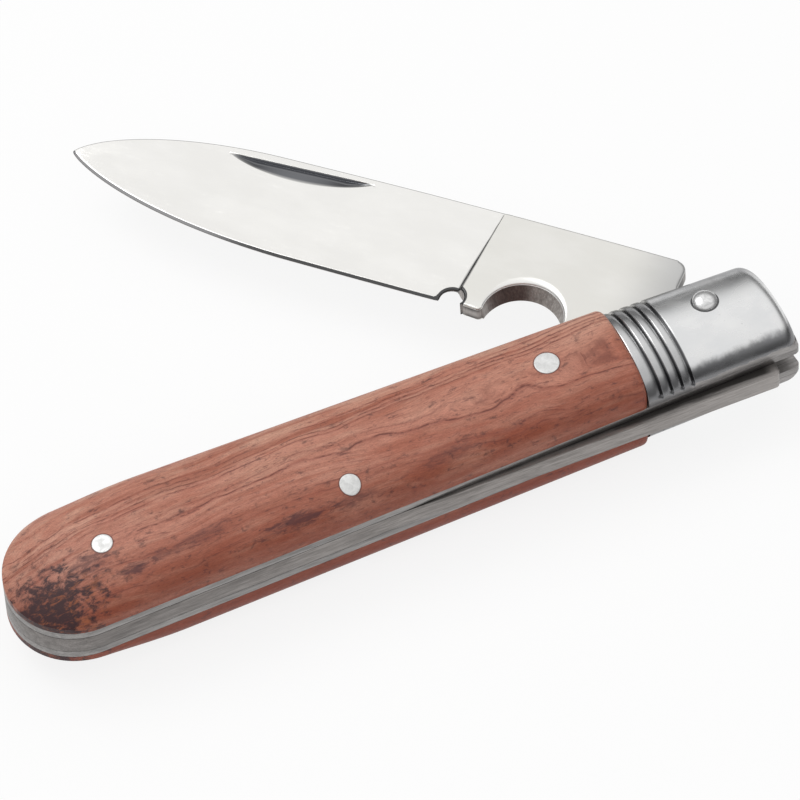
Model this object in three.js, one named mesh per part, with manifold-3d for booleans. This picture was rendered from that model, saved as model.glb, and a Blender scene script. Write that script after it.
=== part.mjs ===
// A slip-joint folding pocket knife, drawn half open and lying on its rear side.
// Millimetres. +X runs from the butt to the bolsters, +Y from the spine to the side that
// the blade folds into, +Z up through the front scale. The origin lies on the flat crown of
// the rear scale, below the middle of the closed length and level with the blade's axis.

import * as THREE from 'three';
import * as BufferGeometryUtils from 'three/addons/utils/BufferGeometryUtils.js';
import Module from 'manifold-3d';

const wasm = await Module();
wasm.setup();

// Handle in plan, measured from the blade's axis
const CLOSED_LENGTH = 110;
const FRONT_REACH = 9.6;
const SPINE_OFFSET = 8.8;
const WIDTH_AT_PIVOT = 15.1;
const WIDTH_GAIN = 0.044;
const FRONT_SLANT = 1.0;
const SPINE_CORNER_RADIUS = 0.8;
const OPENING_CORNER_RADIUS = 2.5;
const JUNCTION_SETBACK = 12.5;
const BUTT_TIP_Y = 0.45;

// Handle through its thickness
const SLOT_WIDTH = 3.0;
const LINER_THICKNESS = 1.15;
const SCALE_THICKNESS = 5.7;
const SCALE_SQUARENESS = 3.0;
const SCALE_CROWN_SHARE = 0.34;
const SCALE_BUTT_THICKNESS = 3.85;
const SCALE_BUTT_SQUARENESS = 1.6;
const SCALE_TAPER_LENGTH = 21.4;
const BOLSTER_THICKNESS = 5.15;
const BOLSTER_SQUARENESS = 1.95;
const BOLSTER_FRONT_THICKNESS = 4.55;
const BOLSTER_TAPER_LENGTH = 15.6;
const BOLSTER_RIM_RADIUS = 1.85;
const SIDE_FLAT_HEIGHT = 0.95;

// Grooves across the bolsters
const GROOVE_COUNT = 4;
const GROOVE_PITCH = 1.53;
const FIRST_GROOVE_SETBACK = 1.3;
const GROOVE_WIDTH = 0.7;
const GROOVE_DEPTH = 0.35;

// Blade, measured from its axis; the spine is on its -Y side
const BLADE_THICKNESS = 2.6;
const BLADE_REST_ANGLE = 133.7;
const SPINE_RISE = 9.7;
const SPINE_DROP_LENGTH = 28.8;
const SPINE_DROP_RISE = 8.2;
const EDGE_DEPTH = 7.1;
const EDGE_CURVE_LENGTH = 32.8;
const HEEL_DEPTH = 6.6;
const PLUNGE_REACH = 32.1;
const PLUNGE_LEAN = 1.0;
const PLUNGE_RUN = 0.6;
const EDGE_THICKNESS = 0.1;
const BEVEL_THICKNESS = 0.5;
const BEVEL_WIDTH = 1.0;
const TIP_SPINE_THICKNESS = 0.9;
const TIP_BLUNTNESS = 0.25;
const SHOULDER_REACH = 6.1;
const SHOULDER_RADIUS = 1.5;
const TANG_ROOT_DEPTH = 6.2;
const TANG_FLAT_ANGLE = 83;
const KICK_SETBACK = 2.5;
const KICK_DEPTH = 7.0;
const CHOIL_REACH = 33.9;
const CHOIL_RADIUS = 1.7;
const CHOIL_DEPTH = 6.0;
const NOTCH_REACH = 23.77;
const NOTCH_DEPTH = 6.6;
const NOTCH_RADIUS = 5.55;
const NOTCH_LEAN = 1.2;
const NICK_TIP_SETBACK = 20.1;
const NICK_LENGTH = 20.8;
const NICK_START_RISE = 7.8;
const NICK_END_RISE = 6.5;
const NICK_DROP = 2.3;
const NICK_FLOOR = 0.5;

// How the blade's outline bends between its named points, as shares of each curve
const SPINE_STRAIGHTNESS = 1.45;
const DROP_BULGE = 0.72;
const DROP_FULLNESS = 0.93;
const DROP_NOSE = 0.12;
const BELLY_BULGE = 0.71;
const BELLY_NOSE = 0.11;
const TIP_TAPER = 1.5;
const BEVEL_SHARE_AT_TIP = 0.4;

// Backspring
const SPRING_HEIGHT_AT_PIN = 5.1;
const SPRING_HEIGHT = 3.85;
const SPRING_TIP_HEIGHT = 3.6;
const SPRING_TIP_RADIUS = 1.2;
const SPRING_THIN_REACH = 9;
const SPRING_FULL_REACH = 6;
const SPRING_SCOOP_SETBACK = 8.75;
const SPRING_WRAP_ANGLE = 112;
const SPRING_LIFT_ANGLE = 1.8;
const BUTT_WALL = 8.0;
const POCKET_TOP_SETBACK = 2.4;
const POCKET_LIP = 4.5;
const POCKET_DROP = 5.5;

// Rivets and pins
const PIVOT_DIAMETER = 3.0;
const RIVET_HEAD_DIAMETER = 3.5;
const RIVET_HEAD_HEIGHT = 0.5;
const RIVET_SEAT_DEPTH = 0.25;
const SCALE_PIN_DIAMETER = 3.4;
const THROUGH_PIN_DIAMETER = 2.8;
const THROUGH_PIN_SHANK = 2.0;
const SCALE_PIN_SETBACK = 23.1;
const MIDDLE_PIN_SETBACK = 54.15;
const MIDDLE_PIN_INSET = 3.03;
const BUTT_PIN_INSET = 13.5;

// Clearances
const PIVOT_CLEARANCE = 0.08;
const PIN_CLEARANCE = 0.05;
const SPRING_SIDE_CLEARANCE = 0.1;
const SPRING_SPLIT_GAP = 0.3;
const SPRING_PIN_WALL = 1.3;
const TANG_CLEARANCE = 0.3;
const SHOULDER_CLEARANCE = 0.2;
const TIP_CLEARANCE = 1.3;

// How finely the round stretches are divided
const BUTT_STEPS = 10;
const TAPER_STEPS = 3;
const ARCH_STEPS = 9;
const CURVE_STEPS = 9;
const CORNER_STEPS = 4;
const TANG_STEPS = 16;
const RIM_STEPS = 4;
const BLADE_STEPS = 16;
const ROUND_SIDES = 24;
const HALVINGS = 30;
const MERGE_DISTANCE = 1e-4;
const OVERCUT = 1;

// Sizes that follow from the ones above
const BUTT_X = FRONT_REACH - CLOSED_LENGTH;
const JUNCTION_X = -JUNCTION_SETBACK;
const SCALE_TAPER_X = BUTT_X + SCALE_TAPER_LENGTH;
const LINER_OUTER_Z = SLOT_WIDTH / 2 + LINER_THICKNESS;
const HALF_THICKNESS = LINER_OUTER_Z + SCALE_THICKNESS;
const WIDTH_SLOPE = Math.hypot(1, WIDTH_GAIN);
const OPENING_EDGE_AT_BUTT = WIDTH_AT_PIVOT - SPINE_OFFSET - WIDTH_GAIN * BUTT_X;
const SPINE_BUTT_RADIUS = SPINE_OFFSET + BUTT_TIP_Y;
const OPENING_BUTT_RADIUS = (OPENING_EDGE_AT_BUTT - BUTT_TIP_Y) / (WIDTH_GAIN + WIDTH_SLOPE);
const SPINE_BUTT_CENTRE = new THREE.Vector2(BUTT_X + SPINE_BUTT_RADIUS, BUTT_TIP_Y);
const OPENING_BUTT_CENTRE = new THREE.Vector2(BUTT_X + OPENING_BUTT_RADIUS, BUTT_TIP_Y);
const HALF_SLOT = SLOT_WIDTH / 2;
const HALF_BLADE = BLADE_THICKNESS / 2;
const MIDDLE_PIN = new THREE.Vector2(-MIDDLE_PIN_SETBACK, MIDDLE_PIN_INSET - SPINE_OFFSET);
const SCALE_PIN = new THREE.Vector2(-SCALE_PIN_SETBACK, 0);
const BUTT_PIN = new THREE.Vector2(BUTT_X + BUTT_PIN_INSET, 0);
const SPRING_SPLIT_X = MIDDLE_PIN.x + THROUGH_PIN_SHANK / 2 + SPRING_PIN_WALL;
const SPRING_TIP_X = SHOULDER_REACH - SHOULDER_CLEARANCE;
const LAST_GROOVE_X = JUNCTION_X + FIRST_GROOVE_SETBACK + (GROOVE_COUNT - 1) * GROOVE_PITCH;
const RIVET_SEAT_Z = LINER_OUTER_Z + bolsterThickness(0) - RIVET_SEAT_DEPTH;
const TANG_RADIUS = SPINE_OFFSET - SPRING_TIP_HEIGHT - TANG_CLEARANCE;
const PIVOT_X = CLOSED_LENGTH / 2 - FRONT_REACH;
const BLADE_LENGTH = CLOSED_LENGTH - FRONT_REACH - BUTT_WALL - TIP_CLEARANCE;
const SPINE_DROP_START = BLADE_LENGTH - SPINE_DROP_LENGTH;
const EDGE_CURVE_START = BLADE_LENGTH - EDGE_CURVE_LENGTH;

function openingY(x) {
  return WIDTH_AT_PIVOT - SPINE_OFFSET - WIDTH_GAIN * x;
}

// Solids

function toSolid(geometry) {
  const bare = geometry.clone();
  bare.deleteAttribute('normal');
  bare.deleteAttribute('uv');
  const merged = BufferGeometryUtils.mergeVertices(bare, MERGE_DISTANCE);
  const vertProperties = new Float32Array(merged.attributes.position.array);
  const triVerts = new Uint32Array(merged.index.array);
  return new wasm.Manifold(new wasm.Mesh({ numProp: 3, vertProperties, triVerts }));
}

function toGeometry(solid) {
  const mesh = solid.getMesh();
  const geometry = new THREE.BufferGeometry();
  geometry.setAttribute('position', new THREE.Float32BufferAttribute(mesh.vertProperties, 3));
  geometry.setIndex(new THREE.BufferAttribute(mesh.triVerts, 1));
  return geometry;
}

// A flat plate between two heights, from a closed outline of points
function plate(points, low, high, holes = []) {
  const shape = new THREE.Shape(points);
  for (const hole of holes) {
    shape.holes.push(new THREE.Path(circlePoints(hole.centre, hole.diameter).reverse()));
  }
  const geometry = new THREE.ExtrudeGeometry(shape, { depth: high - low, bevelEnabled: false });
  geometry.translate(0, 0, low);
  return geometry;
}

function circlePoints(centre, diameter) {
  const points = [];
  for (let i = 0; i < ROUND_SIDES; i += 1) {
    const angle = (i / ROUND_SIDES) * Math.PI * 2;
    const radius = diameter / 2;
    points.push(new THREE.Vector2(centre.x + radius * Math.cos(angle), centre.y + radius * Math.sin(angle)));
  }
  return points;
}

function rod(centre, diameter, low, high) {
  return plate(circlePoints(centre, diameter), low, high);
}

// A closed skin over rings of equal length, each anticlockwise about the way they stack.
// cap gives the triangles that fill a ring, by the places of their corners in it.
function loft(rings, cap) {
  const count = rings[0].length;
  const positions = rings.flat().flatMap((point) => [point.x, point.y, point.z]);
  const indices = [];
  for (let k = 0; k + 1 < rings.length; k += 1) {
    for (let i = 0; i < count; i += 1) {
      const next = (i + 1) % count;
      const a = k * count + i;
      const b = k * count + next;
      const c = (k + 1) * count + next;
      const d = (k + 1) * count + i;
      indices.push(a, b, c, a, c, d);
    }
  }
  const top = (rings.length - 1) * count;
  for (const [a, b, c] of cap(rings[0])) {
    indices.push(a, c, b);
  }
  for (const [a, b, c] of cap(rings.at(-1))) {
    indices.push(top + a, top + b, top + c);
  }
  const geometry = new THREE.BufferGeometry();
  geometry.setAttribute('position', new THREE.Float32BufferAttribute(positions, 3));
  geometry.setIndex(indices);
  return geometry;
}

// Fills a ring that stands across the knife
function acrossCap(ring) {
  return THREE.ShapeUtils.triangulateShape(ring.map((point) => new THREE.Vector2(point.y, point.z)), []);
}

// Fills a ring that lies flat, in strips from one side to the other
function stripCap(ring) {
  const triangles = [];
  const last = ring.length - 1;
  for (let i = 0; i < last / 2 - 1; i += 1) {
    triangles.push([i, i + 1, last - i]);
    if (i + 1 !== last - i - 1) {
      triangles.push([i + 1, last - i - 1, last - i]);
    }
  }
  triangles.push([last / 2 - 1, last / 2, last / 2 + 1]);
  return triangles;
}

function mirroredInZ(geometry) {
  const mirrored = geometry.index ? geometry.clone() : BufferGeometryUtils.mergeVertices(geometry);
  mirrored.scale(1, 1, -1);
  const index = mirrored.index.array;
  for (let i = 0; i < index.length; i += 3) {
    const swap = index[i + 1];
    index[i + 1] = index[i + 2];
    index[i + 2] = swap;
  }
  return mirrored;
}

// Outlines

function arc(centre, radius, from, to, steps) {
  const points = [];
  for (let i = 0; i <= steps; i += 1) {
    const angle = from + ((to - from) * i) / steps;
    points.push(new THREE.Vector2(centre.x + radius * Math.cos(angle), centre.y + radius * Math.sin(angle)));
  }
  return points;
}

// The round butt in two arcs that meet at its tip, each drawn away from its straight edge
function openingButtArc() {
  return arc(OPENING_BUTT_CENTRE, OPENING_BUTT_RADIUS, Math.atan2(1, WIDTH_GAIN), Math.PI, BUTT_STEPS);
}

function spineButtArc() {
  return arc(SPINE_BUTT_CENTRE, SPINE_BUTT_RADIUS, Math.PI * 1.5, Math.PI, BUTT_STEPS);
}

function buttArc() {
  return [...openingButtArc(), ...spineButtArc().reverse().slice(1)];
}

// The front end from the spine corner to the opening corner, both rounded
function frontEnd() {
  const spineCentre = new THREE.Vector2(
    FRONT_REACH - SPINE_CORNER_RADIUS,
    SPINE_CORNER_RADIUS - SPINE_OFFSET,
  );
  const cornerX = FRONT_REACH - FRONT_SLANT;
  const centreX = cornerX - OPENING_CORNER_RADIUS;
  const centreY = openingY(centreX) - OPENING_CORNER_RADIUS * WIDTH_SLOPE;
  const openingCentre = new THREE.Vector2(centreX, centreY);
  const slant = Math.atan2(FRONT_SLANT, WIDTH_AT_PIVOT);
  return [
    ...arc(spineCentre, SPINE_CORNER_RADIUS, -Math.PI / 2, slant, CORNER_STEPS),
    ...arc(openingCentre, OPENING_CORNER_RADIUS, slant, Math.atan2(1, WIDTH_GAIN), CORNER_STEPS * 2),
  ];
}

function handleOutline() {
  return [...frontEnd(), ...buttArc()];
}

// How high an arched section stands over the liner at a share of its half width. It meets
// its side flat at a share of 1 and its full thickness at the crown.
function archHeight(share, thickness, squareness, crownShare) {
  const widening = (1 - (SIDE_FLAT_HEIGHT / thickness) ** squareness) ** (-1 / squareness);
  const rise = (at) => Math.max(0, 1 - (at / widening) ** squareness) ** (1 / squareness);
  return (thickness * rise(share)) / rise(crownShare);
}

// Shares of the half width, close together where the arch is steep
function archShares(thickness, squareness, crownShare) {
  const start = Math.asin((SIDE_FLAT_HEIGHT / thickness) ** (squareness / 2));
  const end = Math.acos(crownShare ** (squareness / 2));
  const shares = [];
  for (let i = 0; i <= ARCH_STEPS; i += 1) {
    const angle = start + ((end - start) * i) / ARCH_STEPS;
    shares.push((Math.cos(angle) / Math.cos(start)) ** (2 / squareness));
  }
  return shares;
}

// Scales

// The scale's outline as pairs of opposite points from the bolster to the tip of the butt,
// each with the point that it is drawn in towards
function scaleSide(arcPoints, arcCentre, edgeY) {
  const middleY = (x) => {
    const middle = (openingY(JUNCTION_X) - SPINE_OFFSET) / 2;
    return THREE.MathUtils.mapLinear(x, JUNCTION_X, arcCentre.x, middle, arcCentre.y);
  };
  const side = [{ point: new THREE.Vector2(JUNCTION_X, edgeY(JUNCTION_X)) }];
  for (let i = 0; i < TAPER_STEPS; i += 1) {
    const x = SCALE_TAPER_X + ((arcCentre.x - SCALE_TAPER_X) * i) / TAPER_STEPS;
    side.push({ point: new THREE.Vector2(x, edgeY(x)) });
  }
  for (const pair of side) {
    pair.centre = new THREE.Vector2(pair.point.x, middleY(pair.point.x));
  }
  return [...side, ...arcPoints.map((point) => ({ point, centre: arcCentre }))];
}

// One closed ring of the front scale, drawn in to a share of its width
function scaleRing(share, heightAt) {
  const drawnIn = ({ point, centre }) => {
    const place = centre.clone().lerp(point, share);
    return new THREE.Vector3(place.x, place.y, LINER_OUTER_Z + heightAt(place.x));
  };
  const opening = scaleSide(openingButtArc(), OPENING_BUTT_CENTRE, openingY);
  const spine = scaleSide(spineButtArc(), SPINE_BUTT_CENTRE, () => -SPINE_OFFSET);
  const spineRing = spine.map(drawnIn).reverse();
  const openingRing = opening.map(drawnIn);
  openingRing[openingRing.length - 1].lerp(spineRing[0], 0.5);
  return [...openingRing, ...spineRing.slice(1)];
}

// The scale's arch at x: lower and rounder from the start of the taper to the butt
function scaleHeight(share, x) {
  const taper = THREE.MathUtils.smoothstep(SCALE_TAPER_X - x, 0, SCALE_TAPER_LENGTH);
  const thickness = THREE.MathUtils.lerp(SCALE_THICKNESS, SCALE_BUTT_THICKNESS, taper);
  const squareness = THREE.MathUtils.lerp(SCALE_SQUARENESS, SCALE_BUTT_SQUARENESS, taper);
  return archHeight(share, thickness, squareness, SCALE_CROWN_SHARE);
}

function scaleBlank() {
  const rings = [scaleRing(1, () => 0), scaleRing(1, () => SIDE_FLAT_HEIGHT)];
  for (const share of archShares(SCALE_THICKNESS, SCALE_SQUARENESS, SCALE_CROWN_SHARE).slice(1)) {
    rings.push(scaleRing(share, (x) => scaleHeight(share, x)));
  }
  return toSolid(loft(rings, stripCap));
}

function drilled(solid, holes) {
  let result = solid;
  for (const { centre, diameter } of holes) {
    result = result.subtract(toSolid(rod(centre, diameter, -HALF_THICKNESS * 2, HALF_THICKNESS * 2)));
  }
  return result;
}

const scaleHoles = [
  { centre: SCALE_PIN, diameter: SCALE_PIN_DIAMETER + PIN_CLEARANCE * 2 },
  { centre: MIDDLE_PIN, diameter: THROUGH_PIN_DIAMETER + PIN_CLEARANCE * 2 },
  { centre: BUTT_PIN, diameter: THROUGH_PIN_DIAMETER + PIN_CLEARANCE * 2 },
];

const frontBlank = scaleBlank();
const frontScaleGeometry = toGeometry(drilled(frontBlank, scaleHoles));

// Bolsters

// The bolster's thickness over the liner, less towards the front
function bolsterThickness(x) {
  const taper = THREE.MathUtils.clamp(1 - (FRONT_REACH - x) / BOLSTER_TAPER_LENGTH, 0, 1);
  return THREE.MathUtils.lerp(BOLSTER_THICKNESS, BOLSTER_FRONT_THICKNESS, taper);
}

// How far an edge is drawn in beside a round corner that ends at the front
function cornerInset(x, radius) {
  const into = Math.max(0, x - (FRONT_REACH - radius));
  return radius - Math.sqrt(Math.max(0, radius ** 2 - into ** 2));
}

// One section of the front bolster at x, sunk by a groove's depth above its side flats
function bolsterSection(x, sink) {
  const high = openingY(x) - cornerInset(x, OPENING_CORNER_RADIUS);
  const low = cornerInset(x, SPINE_CORNER_RADIUS) - SPINE_OFFSET;
  const thickness = bolsterThickness(x);
  const lowering = 1 - cornerInset(x, BOLSTER_RIM_RADIUS) / thickness;
  const slant = FRONT_SLANT * THREE.MathUtils.smoothstep(x, LAST_GROOVE_X, FRONT_REACH);
  const at = (side, share, height) => {
    const y = (high + low) / 2 + (side * share * (high - low)) / 2;
    const lean = (slant * (y + SPINE_OFFSET)) / WIDTH_AT_PIVOT;
    return new THREE.Vector3(x - lean, y, LINER_OUTER_Z + height * lowering);
  };
  const shares = archShares(BOLSTER_THICKNESS, BOLSTER_SQUARENESS, 0).slice(1, -1);
  const arch = (side) => shares.map((share) => {
    const height = archHeight(share, thickness, BOLSTER_SQUARENESS, 0);
    return at(side, share - (2 * sink) / (high - low), height - (sink * height) / thickness);
  });
  return [
    at(-1, 1, 0),
    at(1, 1, 0),
    at(1, 1, SIDE_FLAT_HEIGHT),
    ...arch(1),
    at(1, 0, thickness - sink),
    ...arch(-1).reverse(),
    at(-1, 1, SIDE_FLAT_HEIGHT),
  ];
}

function bolster() {
  const sections = [bolsterSection(JUNCTION_X, 0)];
  for (let i = 0; i < GROOVE_COUNT; i += 1) {
    const centre = JUNCTION_X + FIRST_GROOVE_SETBACK + i * GROOVE_PITCH;
    sections.push(bolsterSection(centre - GROOVE_WIDTH / 2, 0));
    sections.push(bolsterSection(centre, GROOVE_DEPTH));
    sections.push(bolsterSection(centre + GROOVE_WIDTH / 2, 0));
  }
  sections.push(bolsterSection((LAST_GROOVE_X + FRONT_REACH) / 2, 0));
  for (let i = 0; i <= RIM_STEPS; i += 1) {
    const reach = BOLSTER_RIM_RADIUS * (1 - Math.sin((i / RIM_STEPS) * (Math.PI / 2)));
    sections.push(bolsterSection(FRONT_REACH - reach, 0));
  }
  const body = toSolid(loft(sections, acrossCap));
  const seatDiameter = RIVET_HEAD_DIAMETER + PIN_CLEARANCE * 2;
  const seat = toSolid(rod(new THREE.Vector2(0, 0), seatDiameter, RIVET_SEAT_Z, HALF_THICKNESS));
  return drilled(body.subtract(seat), [
    { centre: new THREE.Vector2(0, 0), diameter: PIVOT_DIAMETER + PIN_CLEARANCE * 2 },
  ]);
}

const bolsterGeometry = toGeometry(bolster());

// Liners

function liner() {
  return plate(handleOutline(), HALF_SLOT, LINER_OUTER_Z, [
    { centre: new THREE.Vector2(0, 0), diameter: PIVOT_DIAMETER + PIN_CLEARANCE * 2 },
    { centre: SCALE_PIN, diameter: SCALE_PIN_DIAMETER + PIN_CLEARANCE * 2 },
    { centre: MIDDLE_PIN, diameter: THROUGH_PIN_SHANK + PIN_CLEARANCE * 2 },
    { centre: BUTT_PIN, diameter: THROUGH_PIN_SHANK + PIN_CLEARANCE * 2 },
  ]);
}

const linerGeometry = liner();

// Rivets and pins

// The blade's rivet: a shank through both bolsters with a domed head seated in each
function pivotRivet() {
  const shank = PIVOT_DIAMETER / 2;
  const head = RIVET_HEAD_DIAMETER / 2;
  const rim = RIVET_SEAT_Z + RIVET_SEAT_DEPTH;
  const upper = [new THREE.Vector2(shank, RIVET_SEAT_Z), new THREE.Vector2(head, RIVET_SEAT_Z)];
  for (let i = 0; i <= CORNER_STEPS; i += 1) {
    const angle = (i / CORNER_STEPS) * (Math.PI / 2);
    upper.push(new THREE.Vector2(head * Math.cos(angle), rim + RIVET_HEAD_HEIGHT * Math.sin(angle)));
  }
  upper.at(-1).x = 0;
  const lower = upper.map((point) => new THREE.Vector2(point.x, -point.y)).reverse();
  const geometry = new THREE.LatheGeometry([...lower, ...upper], ROUND_SIDES);
  geometry.rotateX(Math.PI / 2);
  return geometry;
}

// A scale pin: it fills its hole through one liner and one scale, flush with the crown
function scalePin() {
  const blank = toSolid(plate(handleOutline(), HALF_SLOT, LINER_OUTER_Z)).add(frontBlank);
  const column = toSolid(rod(SCALE_PIN, SCALE_PIN_DIAMETER, HALF_SLOT, HALF_THICKNESS));
  return toGeometry(column.intersect(blank));
}

// A through pin: wide in the scales and flush with them, slimmer through liners and spring
function throughPin(centre) {
  const column = toSolid(rod(centre, THROUGH_PIN_DIAMETER, LINER_OUTER_Z, HALF_THICKNESS));
  const head = column.intersect(frontBlank);
  const rearHead = toSolid(mirroredInZ(toGeometry(head)));
  const reach = LINER_OUTER_Z + SIDE_FLAT_HEIGHT;
  const shank = toSolid(rod(centre, THROUGH_PIN_SHANK, -reach, reach));
  return toGeometry(shank.add(head).add(rearHead));
}

// Backspring

// The inner edge of the fixed part, from the split to the pocket that takes the blade's tip
function springInnerEdge() {
  const low = SPRING_HEIGHT_AT_PIN - SPINE_OFFSET;
  const start = new THREE.Vector2(MIDDLE_PIN.x - SPRING_FULL_REACH, low);
  const topY = OPENING_BUTT_CENTRE.y + OPENING_BUTT_RADIUS;
  const end = new THREE.Vector2(BUTT_X + BUTT_WALL, topY - POCKET_TOP_SETBACK);
  const curve = new THREE.CubicBezierCurve(
    start,
    new THREE.Vector2(BUTT_PIN.x + SPRING_SCOOP_SETBACK, low),
    new THREE.Vector2(end.x + POCKET_LIP, end.y - POCKET_DROP),
    end,
  );
  return [new THREE.Vector2(SPRING_SPLIT_X, low), ...curve.getPoints(CURVE_STEPS)];
}

function fixedSpring() {
  const wrapStart = THREE.MathUtils.degToRad(SPRING_WRAP_ANGLE);
  const wrap = arc(OPENING_BUTT_CENTRE, OPENING_BUTT_RADIUS, wrapStart, Math.PI, BUTT_STEPS);
  const outline = [
    ...springInnerEdge(),
    ...wrap,
    ...spineButtArc().reverse().slice(1),
    new THREE.Vector2(SPRING_SPLIT_X, -SPINE_OFFSET),
  ];
  return plate(outline, -HALF_SLOT, HALF_SLOT, [
    { centre: MIDDLE_PIN, diameter: THROUGH_PIN_SHANK + PIN_CLEARANCE * 2 },
    { centre: BUTT_PIN, diameter: THROUGH_PIN_SHANK + PIN_CLEARANCE * 2 },
  ]);
}

// The free part of the spring, drawn flush with the liners and about the middle pin
function freeSpring() {
  const start = SPRING_SPLIT_X + SPRING_SPLIT_GAP;
  const radius = SPRING_TIP_RADIUS;
  const corner = new THREE.Vector2(SPRING_TIP_X - radius, radius - SPINE_OFFSET);
  const outline = [
    new THREE.Vector2(start, -SPINE_OFFSET),
    ...arc(corner, radius, -Math.PI / 2, 0, CORNER_STEPS),
    new THREE.Vector2(SPRING_TIP_X, SPRING_TIP_HEIGHT - SPINE_OFFSET),
    new THREE.Vector2(start + SPRING_THIN_REACH, SPRING_HEIGHT - SPINE_OFFSET),
    new THREE.Vector2(start, SPRING_HEIGHT_AT_PIN - SPINE_OFFSET),
  ];
  const side = HALF_SLOT - SPRING_SIDE_CLEARANCE;
  const geometry = plate(outline, -side, side);
  geometry.translate(-MIDDLE_PIN.x, -MIDDLE_PIN.y, 0);
  return geometry;
}

// Blade

// The blade's spine and cutting edge as heights over its length
const spineDrop = new THREE.CubicBezierCurve(
  new THREE.Vector2(SPINE_DROP_START, -SPINE_DROP_RISE),
  new THREE.Vector2(SPINE_DROP_START + SPINE_DROP_LENGTH * DROP_BULGE, -SPINE_DROP_RISE * DROP_FULLNESS),
  new THREE.Vector2(BLADE_LENGTH, -SPINE_DROP_RISE * DROP_NOSE),
  new THREE.Vector2(BLADE_LENGTH, 0),
);
const edgeCurve = new THREE.CubicBezierCurve(
  new THREE.Vector2(EDGE_CURVE_START, EDGE_DEPTH),
  new THREE.Vector2(EDGE_CURVE_START + EDGE_CURVE_LENGTH * BELLY_BULGE, EDGE_DEPTH),
  new THREE.Vector2(BLADE_LENGTH, EDGE_DEPTH * BELLY_NOSE),
  new THREE.Vector2(BLADE_LENGTH, 0),
);

function heightOnCurve(curve, x) {
  let low = 0;
  let high = 1;
  for (let i = 0; i < HALVINGS; i += 1) {
    const middle = (low + high) / 2;
    if (curve.getPoint(middle).x < x) {
      low = middle;
    } else {
      high = middle;
    }
  }
  return curve.getPoint((low + high) / 2).y;
}

function spineY(x) {
  if (x > SPINE_DROP_START) {
    return heightOnCurve(spineDrop, x);
  }
  const share = (x - SHOULDER_REACH) / (SPINE_DROP_START - SHOULDER_REACH);
  return THREE.MathUtils.lerp(-SPINE_RISE, -SPINE_DROP_RISE, share ** SPINE_STRAIGHTNESS);
}

function edgeY(x) {
  if (x > EDGE_CURVE_START) {
    return heightOnCurve(edgeCurve, x);
  }
  const share = (x - PLUNGE_REACH) / (EDGE_CURVE_START - PLUNGE_REACH);
  return THREE.MathUtils.lerp(HEEL_DEPTH, EDGE_DEPTH, Math.max(0, share));
}

// One section of the ground part: thin at the edge and thinner towards the tip
function groundSection(x) {
  const ground = THREE.MathUtils.clamp((x - PLUNGE_REACH) / PLUNGE_RUN, 0, 1);
  const along = Math.max(0, (x - PLUNGE_REACH) / (BLADE_LENGTH - PLUNGE_REACH));
  const back = THREE.MathUtils.lerp(HALF_BLADE, TIP_SPINE_THICKNESS / 2, along ** TIP_TAPER);
  const bevel = THREE.MathUtils.lerp(HALF_BLADE, BEVEL_THICKNESS / 2, ground);
  const edge = THREE.MathUtils.lerp(HALF_BLADE, EDGE_THICKNESS / 2, ground);
  const top = spineY(x);
  const bottom = edgeY(x);
  const bevelY = bottom - Math.min(BEVEL_WIDTH, (bottom - top) * BEVEL_SHARE_AT_TIP);
  const lean = PLUNGE_LEAN * Math.max(0, 1 - along * 2);
  const at = (y, z) => new THREE.Vector3(x + (lean * (y - top)) / (bottom - top), y, z);
  return [
    at(top, -back),
    at(bevelY, -bevel),
    at(bottom, -edge),
    at(bottom, edge),
    at(bevelY, bevel),
    at(top, back),
  ];
}

function groundPart() {
  const stations = [PLUNGE_REACH - OVERCUT, PLUNGE_REACH, PLUNGE_REACH + PLUNGE_RUN];
  const first = PLUNGE_REACH + PLUNGE_RUN;
  for (let i = 1; i <= BLADE_STEPS; i += 1) {
    const share = Math.sin((i / BLADE_STEPS) * (Math.PI / 2));
    stations.push(first + (BLADE_LENGTH - TIP_BLUNTNESS - first) * share);
  }
  return toSolid(loft(stations.map(groundSection), acrossCap));
}

// The flat part: ricasso, shoulder and the round tang that turns inside the bolsters
function flatPart() {
  const end = PLUNGE_REACH - OVERCUT / 2;
  const shoulder = arc(
    new THREE.Vector2(SHOULDER_REACH + SHOULDER_RADIUS, -SPINE_RISE + SHOULDER_RADIUS),
    SHOULDER_RADIUS,
    Math.PI,
    Math.PI * 1.5,
    CORNER_STEPS,
  );
  const spine = [1 / 3, 2 / 3, 1].map((share) => new THREE.Vector2(end * share, spineY(end * share)));
  const rootX = NOTCH_REACH - NOTCH_RADIUS;
  const tangStart = THREE.MathUtils.degToRad(TANG_FLAT_ANGLE);
  return toSolid(plate([
    new THREE.Vector2(SHOULDER_REACH, -TANG_RADIUS),
    ...shoulder,
    ...spine,
    new THREE.Vector2(end, HEEL_DEPTH),
    new THREE.Vector2(PLUNGE_REACH - KICK_SETBACK, KICK_DEPTH),
    new THREE.Vector2(NOTCH_REACH, KICK_DEPTH),
    new THREE.Vector2(rootX, TANG_ROOT_DEPTH),
    ...arc(new THREE.Vector2(0, 0), TANG_RADIUS, tangStart, Math.PI * 1.5, TANG_STEPS),
  ], -HALF_BLADE, HALF_BLADE));
}

// The stripping notch: a round cut whose wall leans, so that its rear rim is the sharp one
function notchCut() {
  const reach = BLADE_THICKNESS;
  const geometry = rod(new THREE.Vector2(NOTCH_REACH, NOTCH_DEPTH), NOTCH_RADIUS * 2, -reach, reach);
  const lean = new THREE.Matrix4().makeShear(0, 0, 0, 0, 0, -NOTCH_LEAN / BLADE_THICKNESS);
  geometry.applyMatrix4(lean);
  return toSolid(geometry);
}

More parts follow.
